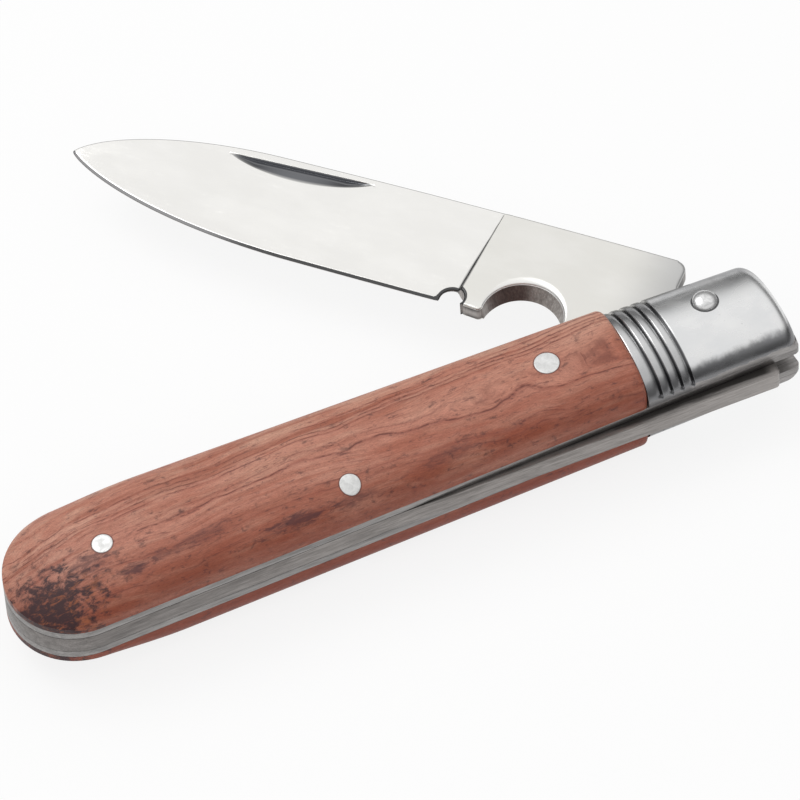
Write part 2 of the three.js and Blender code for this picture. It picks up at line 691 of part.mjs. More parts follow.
// The nail nick: a shallow groove with a straight upper edge and a bowed lower one
function nickCut() {
  const endX = BLADE_LENGTH - NICK_TIP_SETBACK;
  const start = new THREE.Vector2(endX - NICK_LENGTH, -NICK_START_RISE);
  const end = new THREE.Vector2(endX, -NICK_END_RISE);
  const middle = start.clone().add(end).multiplyScalar(0.5);
  middle.y += NICK_DROP * 2;
  const bow = new THREE.QuadraticBezierCurve(end, middle, start);
  const outline = [start, ...bow.getPoints(CURVE_STEPS).slice(0, -1)];
  return toSolid(plate(outline, NICK_FLOOR, HALF_BLADE + OVERCUT));
}

function blade() {
  const choilCentre = new THREE.Vector2(CHOIL_REACH, CHOIL_DEPTH);
  const choil = toSolid(rod(choilCentre, CHOIL_RADIUS * 2, -BLADE_THICKNESS, BLADE_THICKNESS));
  const boreDiameter = PIVOT_DIAMETER + PIVOT_CLEARANCE * 2;
  const bore = toSolid(rod(new THREE.Vector2(0, 0), boreDiameter, -BLADE_THICKNESS, BLADE_THICKNESS));
  const body = flatPart().add(groundPart());
  return toGeometry(body.subtract(notchCut()).subtract(choil).subtract(nickCut()).subtract(bore));
}

// The knife

const polishedSteel = { color: 0xd8d7d2, roughness: 0.2, metalness: 0.9 };
const satinSteel = { color: 0x97938e, roughness: 0.4, metalness: 0.9 };
const bolsterSteel = { color: 0xb4b3b2, roughness: 0.2, metalness: 0.9 };
const wood = { color: 0xa56a56, roughness: 0.5, metalness: 0 };
const pinMetal = { color: 0xdededc, roughness: 0.35, metalness: 0.8 };

function part(name, geometry, finish) {
  const mesh = new THREE.Mesh(geometry, new THREE.MeshStandardMaterial(finish));
  mesh.name = name;
  return mesh;
}

const knife = new THREE.Group();
knife.position.set(PIVOT_X, 0, HALF_THICKNESS);

knife.add(part('front_liner', linerGeometry, satinSteel));
knife.add(part('rear_liner', mirroredInZ(linerGeometry), satinSteel));
knife.add(part('front_bolster', bolsterGeometry, bolsterSteel));
knife.add(part('rear_bolster', mirroredInZ(bolsterGeometry), bolsterSteel));
knife.add(part('front_scale', frontScaleGeometry, wood));
knife.add(part('rear_scale', mirroredInZ(frontScaleGeometry), wood));
knife.add(part('backspring', fixedSpring(), satinSteel));
knife.add(part('pivot_rivet', pivotRivet(), pinMetal));
knife.add(part('front_scale_pin', scalePin(), pinMetal));
knife.add(part('rear_scale_pin', mirroredInZ(scalePin()), pinMetal));
knife.add(part('middle_pin', throughPin(MIDDLE_PIN), pinMetal));
knife.add(part('butt_pin', throughPin(BUTT_PIN), pinMetal));

// The blade turns about the rivet: 0 degrees is fully open
const bladeGroup = new THREE.Group();
bladeGroup.rotation.z = THREE.MathUtils.degToRad(BLADE_REST_ANGLE);
bladeGroup.add(part('blade', blade(), polishedSteel));
knife.add(bladeGroup);

// The tang lifts the free end of the spring while the blade is part way round
const springGroup = new THREE.Group();
springGroup.position.set(MIDDLE_PIN.x, MIDDLE_PIN.y, 0);
springGroup.rotation.z = -THREE.MathUtils.degToRad(SPRING_LIFT_ANGLE);
springGroup.add(part('backspring_tongue', freeSpring(), satinSteel));
knife.add(springGroup);

export default knife;
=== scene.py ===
import math

import bpy
import numpy as np
from mathutils import Matrix, Vector
from mathutils.geometry import delaunay_2d_cdt


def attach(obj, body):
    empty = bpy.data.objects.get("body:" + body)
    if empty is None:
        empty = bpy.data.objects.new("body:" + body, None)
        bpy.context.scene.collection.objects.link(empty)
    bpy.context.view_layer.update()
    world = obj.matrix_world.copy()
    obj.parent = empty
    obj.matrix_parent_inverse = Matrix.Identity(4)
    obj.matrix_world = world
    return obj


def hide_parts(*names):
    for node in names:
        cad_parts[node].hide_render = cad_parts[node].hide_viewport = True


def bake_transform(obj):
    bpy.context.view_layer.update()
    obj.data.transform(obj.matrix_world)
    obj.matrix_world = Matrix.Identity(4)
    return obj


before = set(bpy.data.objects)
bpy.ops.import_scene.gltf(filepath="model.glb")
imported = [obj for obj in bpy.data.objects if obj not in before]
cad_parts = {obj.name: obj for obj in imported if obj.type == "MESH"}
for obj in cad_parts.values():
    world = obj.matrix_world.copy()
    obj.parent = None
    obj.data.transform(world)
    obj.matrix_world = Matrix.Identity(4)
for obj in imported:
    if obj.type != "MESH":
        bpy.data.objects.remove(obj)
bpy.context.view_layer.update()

# Sizes in millimetres and angles in radians. Most are the solids' own, some are finer.
PIVOT_X = 45.4
HALF_THICKNESS = 8.35
FRONT_REACH = 9.6
BUTT_X = -100.4
SPINE_OFFSET = 8.8
WIDTH_AT_PIVOT = 15.1
WIDTH_GAIN = 0.044
FRONT_SLANT = 1.0
SPINE_CORNER_RADIUS = 0.8
OPENING_CORNER_RADIUS = 2.5
JUNCTION_X = -12.5
BUTT_TIP_Y = 0.45
HALF_SLOT = 1.5
LINER_OUTER_Z = 2.65
SCALE_THICKNESS = 5.7
SCALE_SQUARENESS = 3.0
SCALE_BUTT_THICKNESS = 3.85
SCALE_BUTT_SQUARENESS = 1.6
SCALE_TAPER_LENGTH = 21.4
SCALE_END_ROUNDING = 0.9
SCALE_STRAIGHT_STEPS = 56
SCALE_BUTT_STEPS = 24
SCALE_END_STEPS = 7
SCALE_ARCH_STEPS = 26
SCALE_CROWN_SHARE = 0.04
BOLSTER_THICKNESS = 5.15
BOLSTER_FRONT_THICKNESS = 4.55
BOLSTER_TAPER_LENGTH = 15.6
BOLSTER_SQUARENESS = 1.95
BOLSTER_RIM_RADIUS = 1.85
SIDE_FLAT_HEIGHT = 0.95
GROOVE_COUNT = 4
GROOVE_PITCH = 1.53
FIRST_GROOVE_SETBACK = 1.3
GROOVE_DEPTH = 0.4
GROOVE_END_Z = 3.75
REAR_GROOVE_END_Z = 5.4
GROOVE_SKEW = 0.75
MIDDLE_PIN = np.array([-54.15, -5.77])
BUTT_PIN = np.array([-86.9, 0.0])
SCALE_PIN = np.array([-23.1, 0.0])
SCALE_PIN_RADIUS = 1.7
THROUGH_PIN_RADIUS = 1.4
RIVET_HEAD_RADIUS = 1.7
RIVET_SEAT_RADIUS = 1.87
PIN_EDGE = 0.09
PIN_STAND = 0.06
RIVET_SEAT_DEPTH = 0.25
RIVET_HEAD_HEIGHT = 0.68
RIVET_CENTRE = (0.1, 0.4)
RIVET_UNDERCUT = ((1.5, -0.3), (1.58, 0.0), (1.67, 0.07))
RIVET_RIM_RISE = 0.17
ROUND_SIDES = 48
PLATE_EDGE = 0.05
SPRING_EDGE = 0.08
SPRING_HEIGHT_AT_PIN = 5.1
SPRING_HEIGHT = 3.85
SPRING_TIP_HEIGHT = 3.6
SPRING_TIP_X = 5.9
SPRING_TIP_ROUNDING = 0.65
SPRING_HALF_WIDTH = 1.47
SPRING_TIP_INNER_ROUNDING = 0.4
SPRING_THIN_SETBACK = 2.6
SPRING_THIN_REACH = 9
SPRING_FULL_REACH = 6
SPRING_SCOOP_SETBACK = 8.75
SPRING_WRAP_ANGLE = math.radians(112)
SPRING_LIFT = math.radians(1.8)
SPRING_BEND_START = -51.85
SPRING_BEND_END = -40.0
BUTT_WALL = 8.0
POCKET_TOP_SETBACK = 2.4
POCKET_LIP = 4.5
POCKET_DROP = 5.5
BLADE_REST_ANGLE = math.radians(133.7)
BLADE_LENGTH = 91.1
HALF_BLADE = 1.3

OPENING_AT_BUTT = WIDTH_AT_PIVOT - SPINE_OFFSET - WIDTH_GAIN * BUTT_X
SPINE_BUTT_RADIUS = SPINE_OFFSET + BUTT_TIP_Y
OPENING_BUTT_RADIUS = (OPENING_AT_BUTT - BUTT_TIP_Y) / (WIDTH_GAIN + math.hypot(1, WIDTH_GAIN))
SPINE_BUTT_CENTRE = np.array([BUTT_X + SPINE_BUTT_RADIUS, BUTT_TIP_Y])
OPENING_BUTT_CENTRE = np.array([BUTT_X + OPENING_BUTT_RADIUS, BUTT_TIP_Y])
LAST_GROOVE_X = JUNCTION_X + FIRST_GROOVE_SETBACK + (GROOVE_COUNT - 1) * GROOVE_PITCH


def smoothstep(value, low=0.0, high=1.0):
    share = np.clip((np.asarray(value, float) - low) / (high - low), 0, 1)
    return share * share * (3 - 2 * share)


def lerp(a, b, share):
    return a + (b - a) * share


def opening_y(x):
    return WIDTH_AT_PIVOT - SPINE_OFFSET - WIDTH_GAIN * np.asarray(x, float)


def rotated(vectors, angle):
    """Vectors turned about z."""
    turned = np.array(vectors, float)
    turned[:, 0] = vectors[:, 0] * np.cos(angle) - vectors[:, 1] * np.sin(angle)
    turned[:, 1] = vectors[:, 0] * np.sin(angle) + vectors[:, 1] * np.cos(angle)
    return turned


def signed_area(outline):
    """Twice the area of a closed outline, above zero where it runs anticlockwise."""
    x, y = outline[:, 0], outline[:, 1]
    return np.sum(x * np.roll(y, -1) - y * np.roll(x, -1))


# Pieces

def to_world(points):
    return (np.asarray(points, float) + (PIVOT_X, 0, HALF_THICKNESS)) / 1000


def add_piece(name, points, faces, material, normals=None, place=None, masks=None, sharp=35):
    """A mesh object from points in knife millimetres. normals holds one normal for each corner of
    each face, and place the coordinates in millimetres that its material works in."""
    points = np.asarray(points, float)
    mesh = bpy.data.meshes.new(name)
    mesh.from_pydata(to_world(points).tolist(), [], [[int(i) for i in face] for face in faces])
    mesh.update()
    mesh.shade_smooth()
    attribute = mesh.attributes.new("place", "FLOAT_VECTOR", "POINT")
    attribute.data.foreach_set("vector", np.ravel(points if place is None else place).astype(np.float32))
    for mask, values in (masks or {}).items():
        layer = mesh.attributes.new(mask, "FLOAT", "POINT")
        layer.data.foreach_set("value", np.ravel(values).astype(np.float32))
    if normals is None:
        mesh.set_sharp_from_angle(angle=math.radians(sharp))
    else:
        mesh.normals_split_custom_set([tuple(normal) for normal in normals])
    mesh.materials.append(material)
    piece = bpy.data.objects.new(name, mesh)
    bpy.context.scene.collection.objects.link(piece)
    return piece


def belongs(piece, body, slot, *nodes):
    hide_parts(*nodes)
    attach(piece, body)


def grid_faces(rows, columns, closed=False):
    """Quads over rows of points that lie one after another."""
    last = columns if closed else columns - 1
    faces = []
    for start in range(0, (rows - 1) * columns, columns):
        for i in range(last):
            j = (i + 1) % columns
            faces.append((start + i, start + j, start + columns + j, start + columns + i))
    return faces


def turned_over(faces):
    return [tuple(reversed(face)) for face in faces]


def mirrored(points, faces):
    """The same shape on the rear side."""
    points = np.array(points, float)
    points[:, 2] *= -1
    return points, turned_over(faces)


def both_sides(points, faces):
    """A shape and its mirror image as one mesh."""
    rear_points, rear_faces = mirrored(points, faces)
    rear_faces = [tuple(len(points) + i for i in face) for face in rear_faces]
    return np.vstack([points, rear_points]), list(faces) + rear_faces


def arch_height(share, thickness, squareness):
    """Height of an arched section over the liner, where share 0 is its crown and 1 its side."""
    widening = (1 - (SIDE_FLAT_HEIGHT / thickness) ** squareness) ** (-1 / squareness)
    rise = np.maximum(0, 1 - (np.asarray(share, float) / widening) ** squareness)
    return thickness * rise ** (1 / squareness)


# Scales

def scale_taper(x):
    return smoothstep(BUTT_X + SCALE_TAPER_LENGTH - np.asarray(x, float), 0, SCALE_TAPER_LENGTH)


def scale_height(share, x):
    taper = scale_taper(x)
    thickness = lerp(SCALE_THICKNESS, SCALE_BUTT_THICKNESS, taper)
    return arch_height(share, thickness, lerp(SCALE_SQUARENESS, SCALE_BUTT_SQUARENESS, taper))


def middle_y(x, centre):
    start = (opening_y(JUNCTION_X) - SPINE_OFFSET) / 2
    return lerp(start, centre[1], (x - JUNCTION_X) / (centre[0] - JUNCTION_X))


def scale_surface(x, y):
    """Height of the scale's surface over the liner at a place in plan."""
    opening = y > BUTT_TIP_Y
    centre = OPENING_BUTT_CENTRE if opening else SPINE_BUTT_CENTRE
    if x < centre[0]:
        share = math.hypot(x - centre[0], y - centre[1]) / (centre[0] - BUTT_X)
        return float(scale_height(share, x))
    middle = middle_y(x, centre)
    edge = opening_y(x) if y > middle else -SPINE_OFFSET
    return float(scale_height((y - middle) / (edge - middle), x))


def scale_stations(side):
    """Points along one edge of the scale from the bolster to the butt's tip, with their centres."""
    centre = OPENING_BUTT_CENTRE if side > 0 else SPINE_BUTT_CENTRE
    mean_centre = (OPENING_BUTT_CENTRE + SPINE_BUTT_CENTRE) / 2
    radius = centre[0] - BUTT_X
    rounding = SCALE_END_ROUNDING * (1 - np.cos(np.linspace(0, math.pi / 2, SCALE_END_STEPS)))
    length = JUNCTION_X - centre[0]
    straight_part = np.linspace(SCALE_END_ROUNDING, length, SCALE_STRAIGHT_STEPS)[1:]
    points = []
    centres = []
    for x in JUNCTION_X - np.concatenate([rounding, straight_part]):
        points.append((x, opening_y(x) if side > 0 else -SPINE_OFFSET))
        centres.append((x, middle_y(x, centre)))
    start = math.atan2(1, WIDTH_GAIN) if side > 0 else math.pi * 1.5
    for i in range(1, SCALE_BUTT_STEPS + 1):
        share = i / SCALE_BUTT_STEPS
        angle = lerp(start, math.pi, share)
        points.append(centre + radius * np.array([math.cos(angle), math.sin(angle)]))
        centres.append(lerp(centre, mean_centre, float(smoothstep(share))))
    return np.array(points), np.array(centres)


def scale_mesh():
    """The front scale in rings from its foot to its crown, closed by strips and a flat end."""
    steep = np.linspace(0, math.pi / 2, SCALE_ARCH_STEPS + 1)[:-1]
    shares = [1.0, *np.cos(steep) ** 0.75, SCALE_CROWN_SHARE]
    rows = []
    for number, share in enumerate(shares):
        sides = []
        for side in (1, -1):
            points, centres = scale_stations(side)
            plan = centres + (points - centres) * share
            height = scale_height(share, plan[:, 0])
            if number < 2:
                height = np.full(len(plan), number * SIDE_FLAT_HEIGHT)
            sides.append(np.column_stack([plan, LINER_OUTER_Z + height]))
        spine = sides[1][::-1]
        joined = sides[0].copy()
        joined[-1] = (joined[-1] + spine[0]) / 2
        rows.append(np.vstack([joined, spine[1:]]))
    rows = np.array(rows)
    round_end(rows, JUNCTION_X, SCALE_END_ROUNDING)
    count = rows.shape[1]
    faces = turned_over(grid_faces(len(rows), count))
    last = count - 1
    top = (len(rows) - 1) * count
    for i in range(last // 2):
        strip = (top + i, top + last - i, top + last - i - 1, top + i + 1)
        faces.append(strip if i + 1 != last - i - 1 else strip[:3])
        strip = (i, i + 1, last - i - 1, last - i)
        faces.append(strip if i + 1 != last - i - 1 else (strip[0], strip[1], strip[3]))
    end = [row * count for row in range(len(rows))]
    faces.append(end + [row + last for row in reversed(end)])
    return rows.reshape(-1, 3), faces


def round_end(rows, end_x, radius):
    """Draws in the sections near an end along their own normals, so that its edge is round.
    rows run up the section and columns along the piece."""
    across = np.gradient(rows, axis=0)
    tangent = across[:, :, 1:]
    normal = np.stack([-tangent[:, :, 1], tangent[:, :, 0]], axis=2)
    normal /= np.maximum(np.linalg.norm(normal, axis=2, keepdims=True), 1e-9)
    middle = rows[:, :, 1].mean()
    flip = np.sign(normal[:, :, 0] * (middle - rows[:, :, 1]) - normal[:, :, 1])
    normal *= np.where(flip == 0, 1, flip)[:, :, None]
    into = np.clip(radius - np.abs(rows[:, :, 0] - end_x), 0, radius)
    inset = radius - np.sqrt(np.maximum(0, radius ** 2 - into ** 2))
    rows[1:, :, 1:] += normal[1:] * inset[1:, :, None]
    rows[0, :, 1:] = np.column_stack([rows[1, :, 1], rows[0, :, 2]])


# Bolsters

def bolster_thickness(x):
    taper = np.clip(1 - (FRONT_REACH - x) / BOLSTER_TAPER_LENGTH, 0, 1)
    return lerp(BOLSTER_THICKNESS, BOLSTER_FRONT_THICKNESS, taper)


def corner_inset(x, radius):
    into = np.clip(x - (FRONT_REACH - radius), 0, radius)
    return radius - np.sqrt(np.maximum(0, radius ** 2 - into ** 2))


# The lands: how much of a land rises, where it starts to fall, and the millimetres in which the
# last groove ends
LAND_RISE = 0.12
LAND_FALL_START = 0.45
FIRST_LAND_STEP = 0.3
LAST_GROOVE_FADE = 0.2


def land_rise(share):
    return np.clip(1 - share / LAND_RISE, 0, 1)


def land_fall(share):
    return np.clip((share - LAND_FALL_START) / (1 - LAND_FALL_START), 0, 1) ** 2


def groove_sink(x):
    """How deep the surface lies at x, as a share: each land falls slowly towards the front and the
    next one rises steeply."""
    along = (x - JUNCTION_X - FIRST_GROOVE_SETBACK) / GROOVE_PITCH
    if along < 0:
        share = (x - JUNCTION_X) / FIRST_GROOVE_SETBACK
        return float(max(FIRST_LAND_STEP * land_rise(share) ** 2, land_fall(share)))
    if along > GROOVE_COUNT - 1:
        past = (along - GROOVE_COUNT + 1) * GROOVE_PITCH
        return float(1 - smoothstep(past, 0, LAST_GROOVE_FADE))
    share = along % 1
    return float(max(land_rise(share) ** 1.5, land_fall(share)))


# Stations along the bolster: shares of each land, and millimetres past the last groove
LAND_SHARES = np.array([0, 0.03, 0.06, 0.09, 0.13, 0.2, 0.32, 0.45, 0.56, 0.66, 0.75, 0.83, 0.9, 0.96])
PAST_GROOVES = np.array([0, 0.04, 0.08, 0.12, 0.16, 0.2, 0.26, 0.4, 0.8, 1.5])
PLAIN_START = 2.0
PLAIN_STEPS = 19
RIM_LENGTH = 2.6
RIM_STEPS = 17
BOLSTER_ARCH_STEPS = 41
SKEW_FADE = 4


def bolster_stations():
    first = JUNCTION_X + FIRST_GROOVE_SETBACK
    stations = list(JUNCTION_X + FIRST_GROOVE_SETBACK * LAND_SHARES)
    for groove in range(GROOVE_COUNT - 1):
        stations += list(first + groove * GROOVE_PITCH + GROOVE_PITCH * LAND_SHARES)
    stations += list(LAST_GROOVE_X + PAST_GROOVES)
    stations += list(np.linspace(LAST_GROOVE_X + PLAIN_START, FRONT_REACH - RIM_LENGTH - 0.1, PLAIN_STEPS))
    rim = 1 - np.sin(np.linspace(0, math.pi / 2, RIM_STEPS))
    return stations + list(FRONT_REACH - RIM_LENGTH * rim)


def bolster_section(x, spine_groove_end):
    """One section across the bolster and how deep its groove lies."""
    thickness = float(bolster_thickness(x))
    start = math.asin((SIDE_FLAT_HEIGHT / thickness) ** (BOLSTER_SQUARENESS / 2))
    turn = np.linspace(start, math.pi / 2, BOLSTER_ARCH_STEPS)
    share = (np.cos(turn) / math.cos(start)) ** (2 / BOLSTER_SQUARENESS)
    height = arch_height(share, thickness, BOLSTER_SQUARENESS)
    share = np.concatenate([[1, 1], share, -share[:-1][::-1], [-1, -1]])
    foot = [0, SIDE_FLAT_HEIGHT / 2]
    height = np.concatenate([foot, height, height[:-1][::-1], foot[::-1]])
    half = (opening_y(x) + SPINE_OFFSET) / 2
    section = np.column_stack([opening_y(x) - half + share * half, height])
    tangent = np.gradient(section, axis=0)
    normal = np.column_stack([tangent[:, 1], -tangent[:, 0]])
    normal /= np.linalg.norm(normal, axis=1, keepdims=True)
    corner = np.where(share > 0, OPENING_CORNER_RADIUS, SPINE_CORNER_RADIUS)
    above = np.maximum(smoothstep(np.abs(normal[:, 1]), 0.05, 0.6), smoothstep(height, 0.0, 1.3))
    inset = corner_inset(x, lerp(corner, BOLSTER_RIM_RADIUS, above))
    sink = groove_sink(x)
    groove_end = np.where(share > 0, GROOVE_END_Z, spine_groove_end)
    inset = inset + GROOVE_DEPTH * sink * smoothstep(LINER_OUTER_Z + height - groove_end, -0.2, 0.5)
    moved = section - normal * inset[:, None]
    moved[[0, -1], 1] = 0
    slant = FRONT_SLANT * float(smoothstep(x, LAST_GROOVE_X, FRONT_REACH))
    across = (moved[:, 0] + SPINE_OFFSET) / WIDTH_AT_PIVOT
    skewed = (JUNCTION_X, JUNCTION_X + FIRST_GROOVE_SETBACK, LAST_GROOVE_X, FRONT_REACH - SKEW_FADE)
    skew = GROOVE_SKEW * np.interp(x, skewed, (0, 1, 1, 0)) * (1 - across)
    points = np.column_stack([x - slant * across + skew, moved[:, 0], LINER_OUTER_Z + moved[:, 1]])
    return points, np.full(len(points), sink)


def bolster_mesh(spine_groove_end):
    """The bolster and how deep its grooves lie at each point. The grooves run out at a height that
    differs on the spine side."""
    sections, grooves = zip(*[bolster_section(x, spine_groove_end) for x in bolster_stations()])
    rows = np.array(sections)
    count = rows.shape[1]
    faces = turned_over(grid_faces(len(rows), count))
    for i in range(len(rows) - 1):
        faces.append((i * count, (i + 1) * count, (i + 2) * count - 1, (i + 1) * count - 1))
    faces.append(tuple(range(count)))
    faces.append(tuple(reversed(range((len(rows) - 1) * count, len(rows) * count))))
    return rows.reshape(-1, 3), faces, np.array(grooves).ravel()


# Liners and spring

def outward_normals(outline):
    """Directions out of an outline at its points, and the directions of its sides."""
    after = np.roll(outline, -1, axis=0) - outline
    before = outline - np.roll(outline, 1, axis=0)
    after /= np.linalg.norm(after, axis=1, keepdims=True)
    before /= np.linalg.norm(before, axis=1, keepdims=True)
    along = after + before
    along /= np.linalg.norm(along, axis=1, keepdims=True)
    outward = np.column_stack([along[:, 1], -along[:, 0]])
    return outward * (1 if signed_area(outline) > 0 else -1), after, before


def rounded_plate(outline, low, high, edge):
    """A plate over a closed anticlockwise outline with a small round on both its edges."""
    outline = np.asarray(outline, float)
    outward, _, _ = outward_normals(outline)
    rings = []
    for turn in np.radians((90, 60, 30, 0)):
        rings.append((edge * (1 - math.cos(turn)), low + edge * (1 - math.sin(turn))))
    rings += [(inset, low + high - z) for inset, z in reversed(rings)]
    points = [np.column_stack([outline - outward * inset, np.full(len(outline), z)]) for inset, z in rings]
    count = len(outline)
    faces = grid_faces(len(rings), count, closed=True)
    faces.append(tuple(reversed(range(count))))
    faces.append(tuple(range((len(rings) - 1) * count, len(rings) * count)))
    return np.vstack(points), faces


def arc(centre, radius, start, end, steps):
    turn = np.linspace(start, end, steps + 1)
    return np.column_stack([centre[0] + radius * np.cos(turn), centre[1] + radius * np.sin(turn)])


def straight(a, b, step):
    count = max(1, int(round(math.dist(a, b) / step)))
    shares = np.linspace(0, 1, count + 1)[:, None]
    return np.asarray(a) + (np.asarray(b) - np.asarray(a)) * shares


def without_repeats(points):
    kept = [points[0]]
    for point in points[1:]:
        if math.dist(point, kept[-1]) > 0.02:
            kept.append(point)
    if math.dist(kept[0], kept[-1]) <= 0.02:
        kept.pop()
    return np.array(kept)


def handle_outline():
    slant = math.atan2(FRONT_SLANT, WIDTH_AT_PIVOT)
    corner_x = FRONT_REACH - FRONT_SLANT - OPENING_CORNER_RADIUS
    slope = math.hypot(1, WIDTH_GAIN)
    opening_centre = (corner_x, float(opening_y(corner_x)) - OPENING_CORNER_RADIUS * slope)
    spine_centre = (FRONT_REACH - SPINE_CORNER_RADIUS, SPINE_CORNER_RADIUS - SPINE_OFFSET)
    top = math.atan2(1, WIDTH_GAIN)
    front = np.vstack([
        arc(spine_centre, SPINE_CORNER_RADIUS, -math.pi / 2, slant, 8),
        arc(opening_centre, OPENING_CORNER_RADIUS, slant, top, 14),
    ])
    opening = arc(OPENING_BUTT_CENTRE, OPENING_BUTT_RADIUS, top, math.pi, 36)
    spine = arc(SPINE_BUTT_CENTRE, SPINE_BUTT_RADIUS, math.pi, math.pi * 1.5, 36)
    return without_repeats(np.vstack([
        front,
        straight(front[-1], opening[0], 2.0)[1:-1],
        opening,
        spine[1:],
        straight(spine[-1], front[0], 2.0)[1:-1],
    ]))


def bezier(points, steps):
    t = np.linspace(0, 1, steps + 1)[:, None]
    a, b, c, d = [np.asarray(point, float) for point in points]
    return a * (1 - t) ** 3 + 3 * b * t * (1 - t) ** 2 + 3 * c * t ** 2 * (1 - t) + d * t ** 3


def spring_outline():
    """The whole spring drawn flush with the liners, anticlockwise."""
    low = SPRING_HEIGHT_AT_PIN - SPINE_OFFSET
    high = SPRING_HEIGHT - SPINE_OFFSET
    pocket = np.array([BUTT_X + BUTT_WALL, BUTT_TIP_Y + OPENING_BUTT_RADIUS - POCKET_TOP_SETBACK])
    inner = bezier([
        (MIDDLE_PIN[0] - SPRING_FULL_REACH, low),
        (BUTT_PIN[0] + SPRING_SCOOP_SETBACK, low),
        (pocket[0] + POCKET_LIP, pocket[1] - POCKET_DROP),
        pocket,
    ], 30)
    wrap = arc(OPENING_BUTT_CENTRE, OPENING_BUTT_RADIUS, SPRING_WRAP_ANGLE, math.pi, 30)
    butt = arc(SPINE_BUTT_CENTRE, SPINE_BUTT_RADIUS, math.pi, math.pi * 1.5, 36)
    radius = SPRING_TIP_ROUNDING
    tip = arc((SPRING_TIP_X - radius, radius - SPINE_OFFSET), radius, -math.pi / 2, 0, 8)
    radius = SPRING_TIP_INNER_ROUNDING
    corner = (SPRING_TIP_X - radius, SPRING_TIP_HEIGHT - SPINE_OFFSET - radius)
    inner_corner = arc(corner, radius, 0, math.pi / 2, 4)
    start = (MIDDLE_PIN[0] + SPRING_THIN_SETBACK, low)
    thin = (start[0] + SPRING_THIN_REACH, high)
    free = [
        straight(inner_corner[-1], thin, 1.0),
        straight(thin, start, 1.0),
        straight(start, inner[0], 1.5),
    ]
    return without_repeats(np.vstack([
        straight(butt[-1], tip[0], 1.0),
        tip,
        inner_corner,
        *free,
        inner,
        wrap,
        butt[1:-1],
    ]))


def spring_lifted(points):
    """The spring as the tang lifts it: bent round the middle pin."""
    turn = -SPRING_LIFT * smoothstep(points[:, 0], SPRING_BEND_START, SPRING_BEND_END)
    pin = (*MIDDLE_PIN, 0)
    return rotated(points - pin, turn) + pin


# Pins and rivet

def ring_about(centre, radius):
    turn = 2 * math.pi * np.arange(ROUND_SIDES) / ROUND_SIDES
    return np.column_stack([centre[0] + radius * np.cos(turn), centre[1] + radius * np.sin(turn)])


def capped_rings(rings, crown):
    """A solid over rings of points that end below its crown."""
    top = len(rings) * ROUND_SIDES
    faces = grid_faces(len(rings), ROUND_SIDES, closed=True)
    last = top - ROUND_SIDES
    faces += [(last + i, last + (i + 1) % ROUND_SIDES, top) for i in range(ROUND_SIDES)]
    faces.append(tuple(reversed(range(ROUND_SIDES))))
    return np.vstack([*rings, crown]), faces


def wood_surface(x, y):
    return LINER_OUTER_Z + scale_surface(x, y)


def disc_mesh(centre, radius):
    """A round pin end that follows the wood it was ground with and stands a hair proud."""
    steps = [(radius, None)]
    for turn in np.radians((0, 30, 60)):
        steps.append((radius - PIN_EDGE * (1 - math.cos(turn)), PIN_EDGE * (1 - math.sin(turn))))
    steps += [(share * (radius - PIN_EDGE), 0.0) for share in (1.0, 0.88, 0.75, 0.6, 0.4, 0.2)]
    rings = []
    for reach, drop in steps:
        plan = ring_about(centre, reach)
        height = [LINER_OUTER_Z if drop is None else wood_surface(x, y) + PIN_STAND - drop for x, y in plan]
        rings.append(np.column_stack([plan, height]))
    return capped_rings(rings, (*centre, wood_surface(*centre) + PIN_STAND))


def rivet_mesh():
    """The domed head of the blade's rivet, slightly undercut at its rim."""
    seat = LINER_OUTER_Z + float(bolster_thickness(0)) - RIVET_SEAT_DEPTH
    rise = RIVET_HEAD_HEIGHT + RIVET_SEAT_DEPTH - RIVET_RIM_RISE
    profile = [(radius, seat + height) for radius, height in RIVET_UNDERCUT]
    for turn in np.radians((0, 12, 25, 38, 52, 66, 78)):
        profile.append((RIVET_HEAD_RADIUS * math.cos(turn), seat + RIVET_RIM_RISE + rise * math.sin(turn)))
    rings = [np.column_stack([ring_about(RIVET_CENTRE, r), np.full(ROUND_SIDES, z)]) for r, z in profile]
    return capped_rings(rings, (*RIVET_CENTRE, seat + RIVET_SEAT_DEPTH + RIVET_HEAD_HEIGHT))


# Blade

# Its outline from the pivot, with the spine on the -y side, and how its curves bend
SHOULDER_REACH = 6.1
SHOULDER_RADIUS = 1.5
SPINE_RISE = 9.7
SPINE_STRAIGHTNESS = 1.45
SHOULDER_CENTRE = (SHOULDER_REACH + SHOULDER_RADIUS, SHOULDER_RADIUS - SPINE_RISE)
SPINE_DROP_START = 62.3
SPINE_DROP_RISE = 8.2
DROP_BULGE = 0.72
DROP_FULLNESS = 0.93
DROP_NOSE = 0.12
HEEL_REACH = 35.66
HEEL_DEPTH = 6.55
HEEL_CORNER_DEPTH = 6.5
HEEL_STRAIGHTNESS = 0.8
EDGE_CURVE_START = 58.3
EDGE_DEPTH = 7.1
BELLY_BULGE = 0.71
BELLY_NOSE = 0.11
CHOIL_CENTRE = (33.9, 6.0)
CHOIL_RADIUS = 1.7
CHOIL_END_RISE = 0.76
KICK_FRONT = ((31.6, 6.1), 0.74, math.radians(40), math.radians(95))
KICK_LAND = ((31.1, 6.86), (30.6, 6.9))
KICK_BACK = ((30.05, 6.25), 0.67, math.radians(80), math.radians(172))
NOTCH_RADIUS = 5.55
NOTCH_FRONT_CENTRE = (23.83, 5.98)
NOTCH_REAR_CENTRE = (23.71, 7.18)
NOTCH_KICK_LIP = 6.4
NOTCH_TANG_LIP = 6.2
TANG_RADIUS = 4.9
TANG_FLAT_ANGLE = math.radians(83)

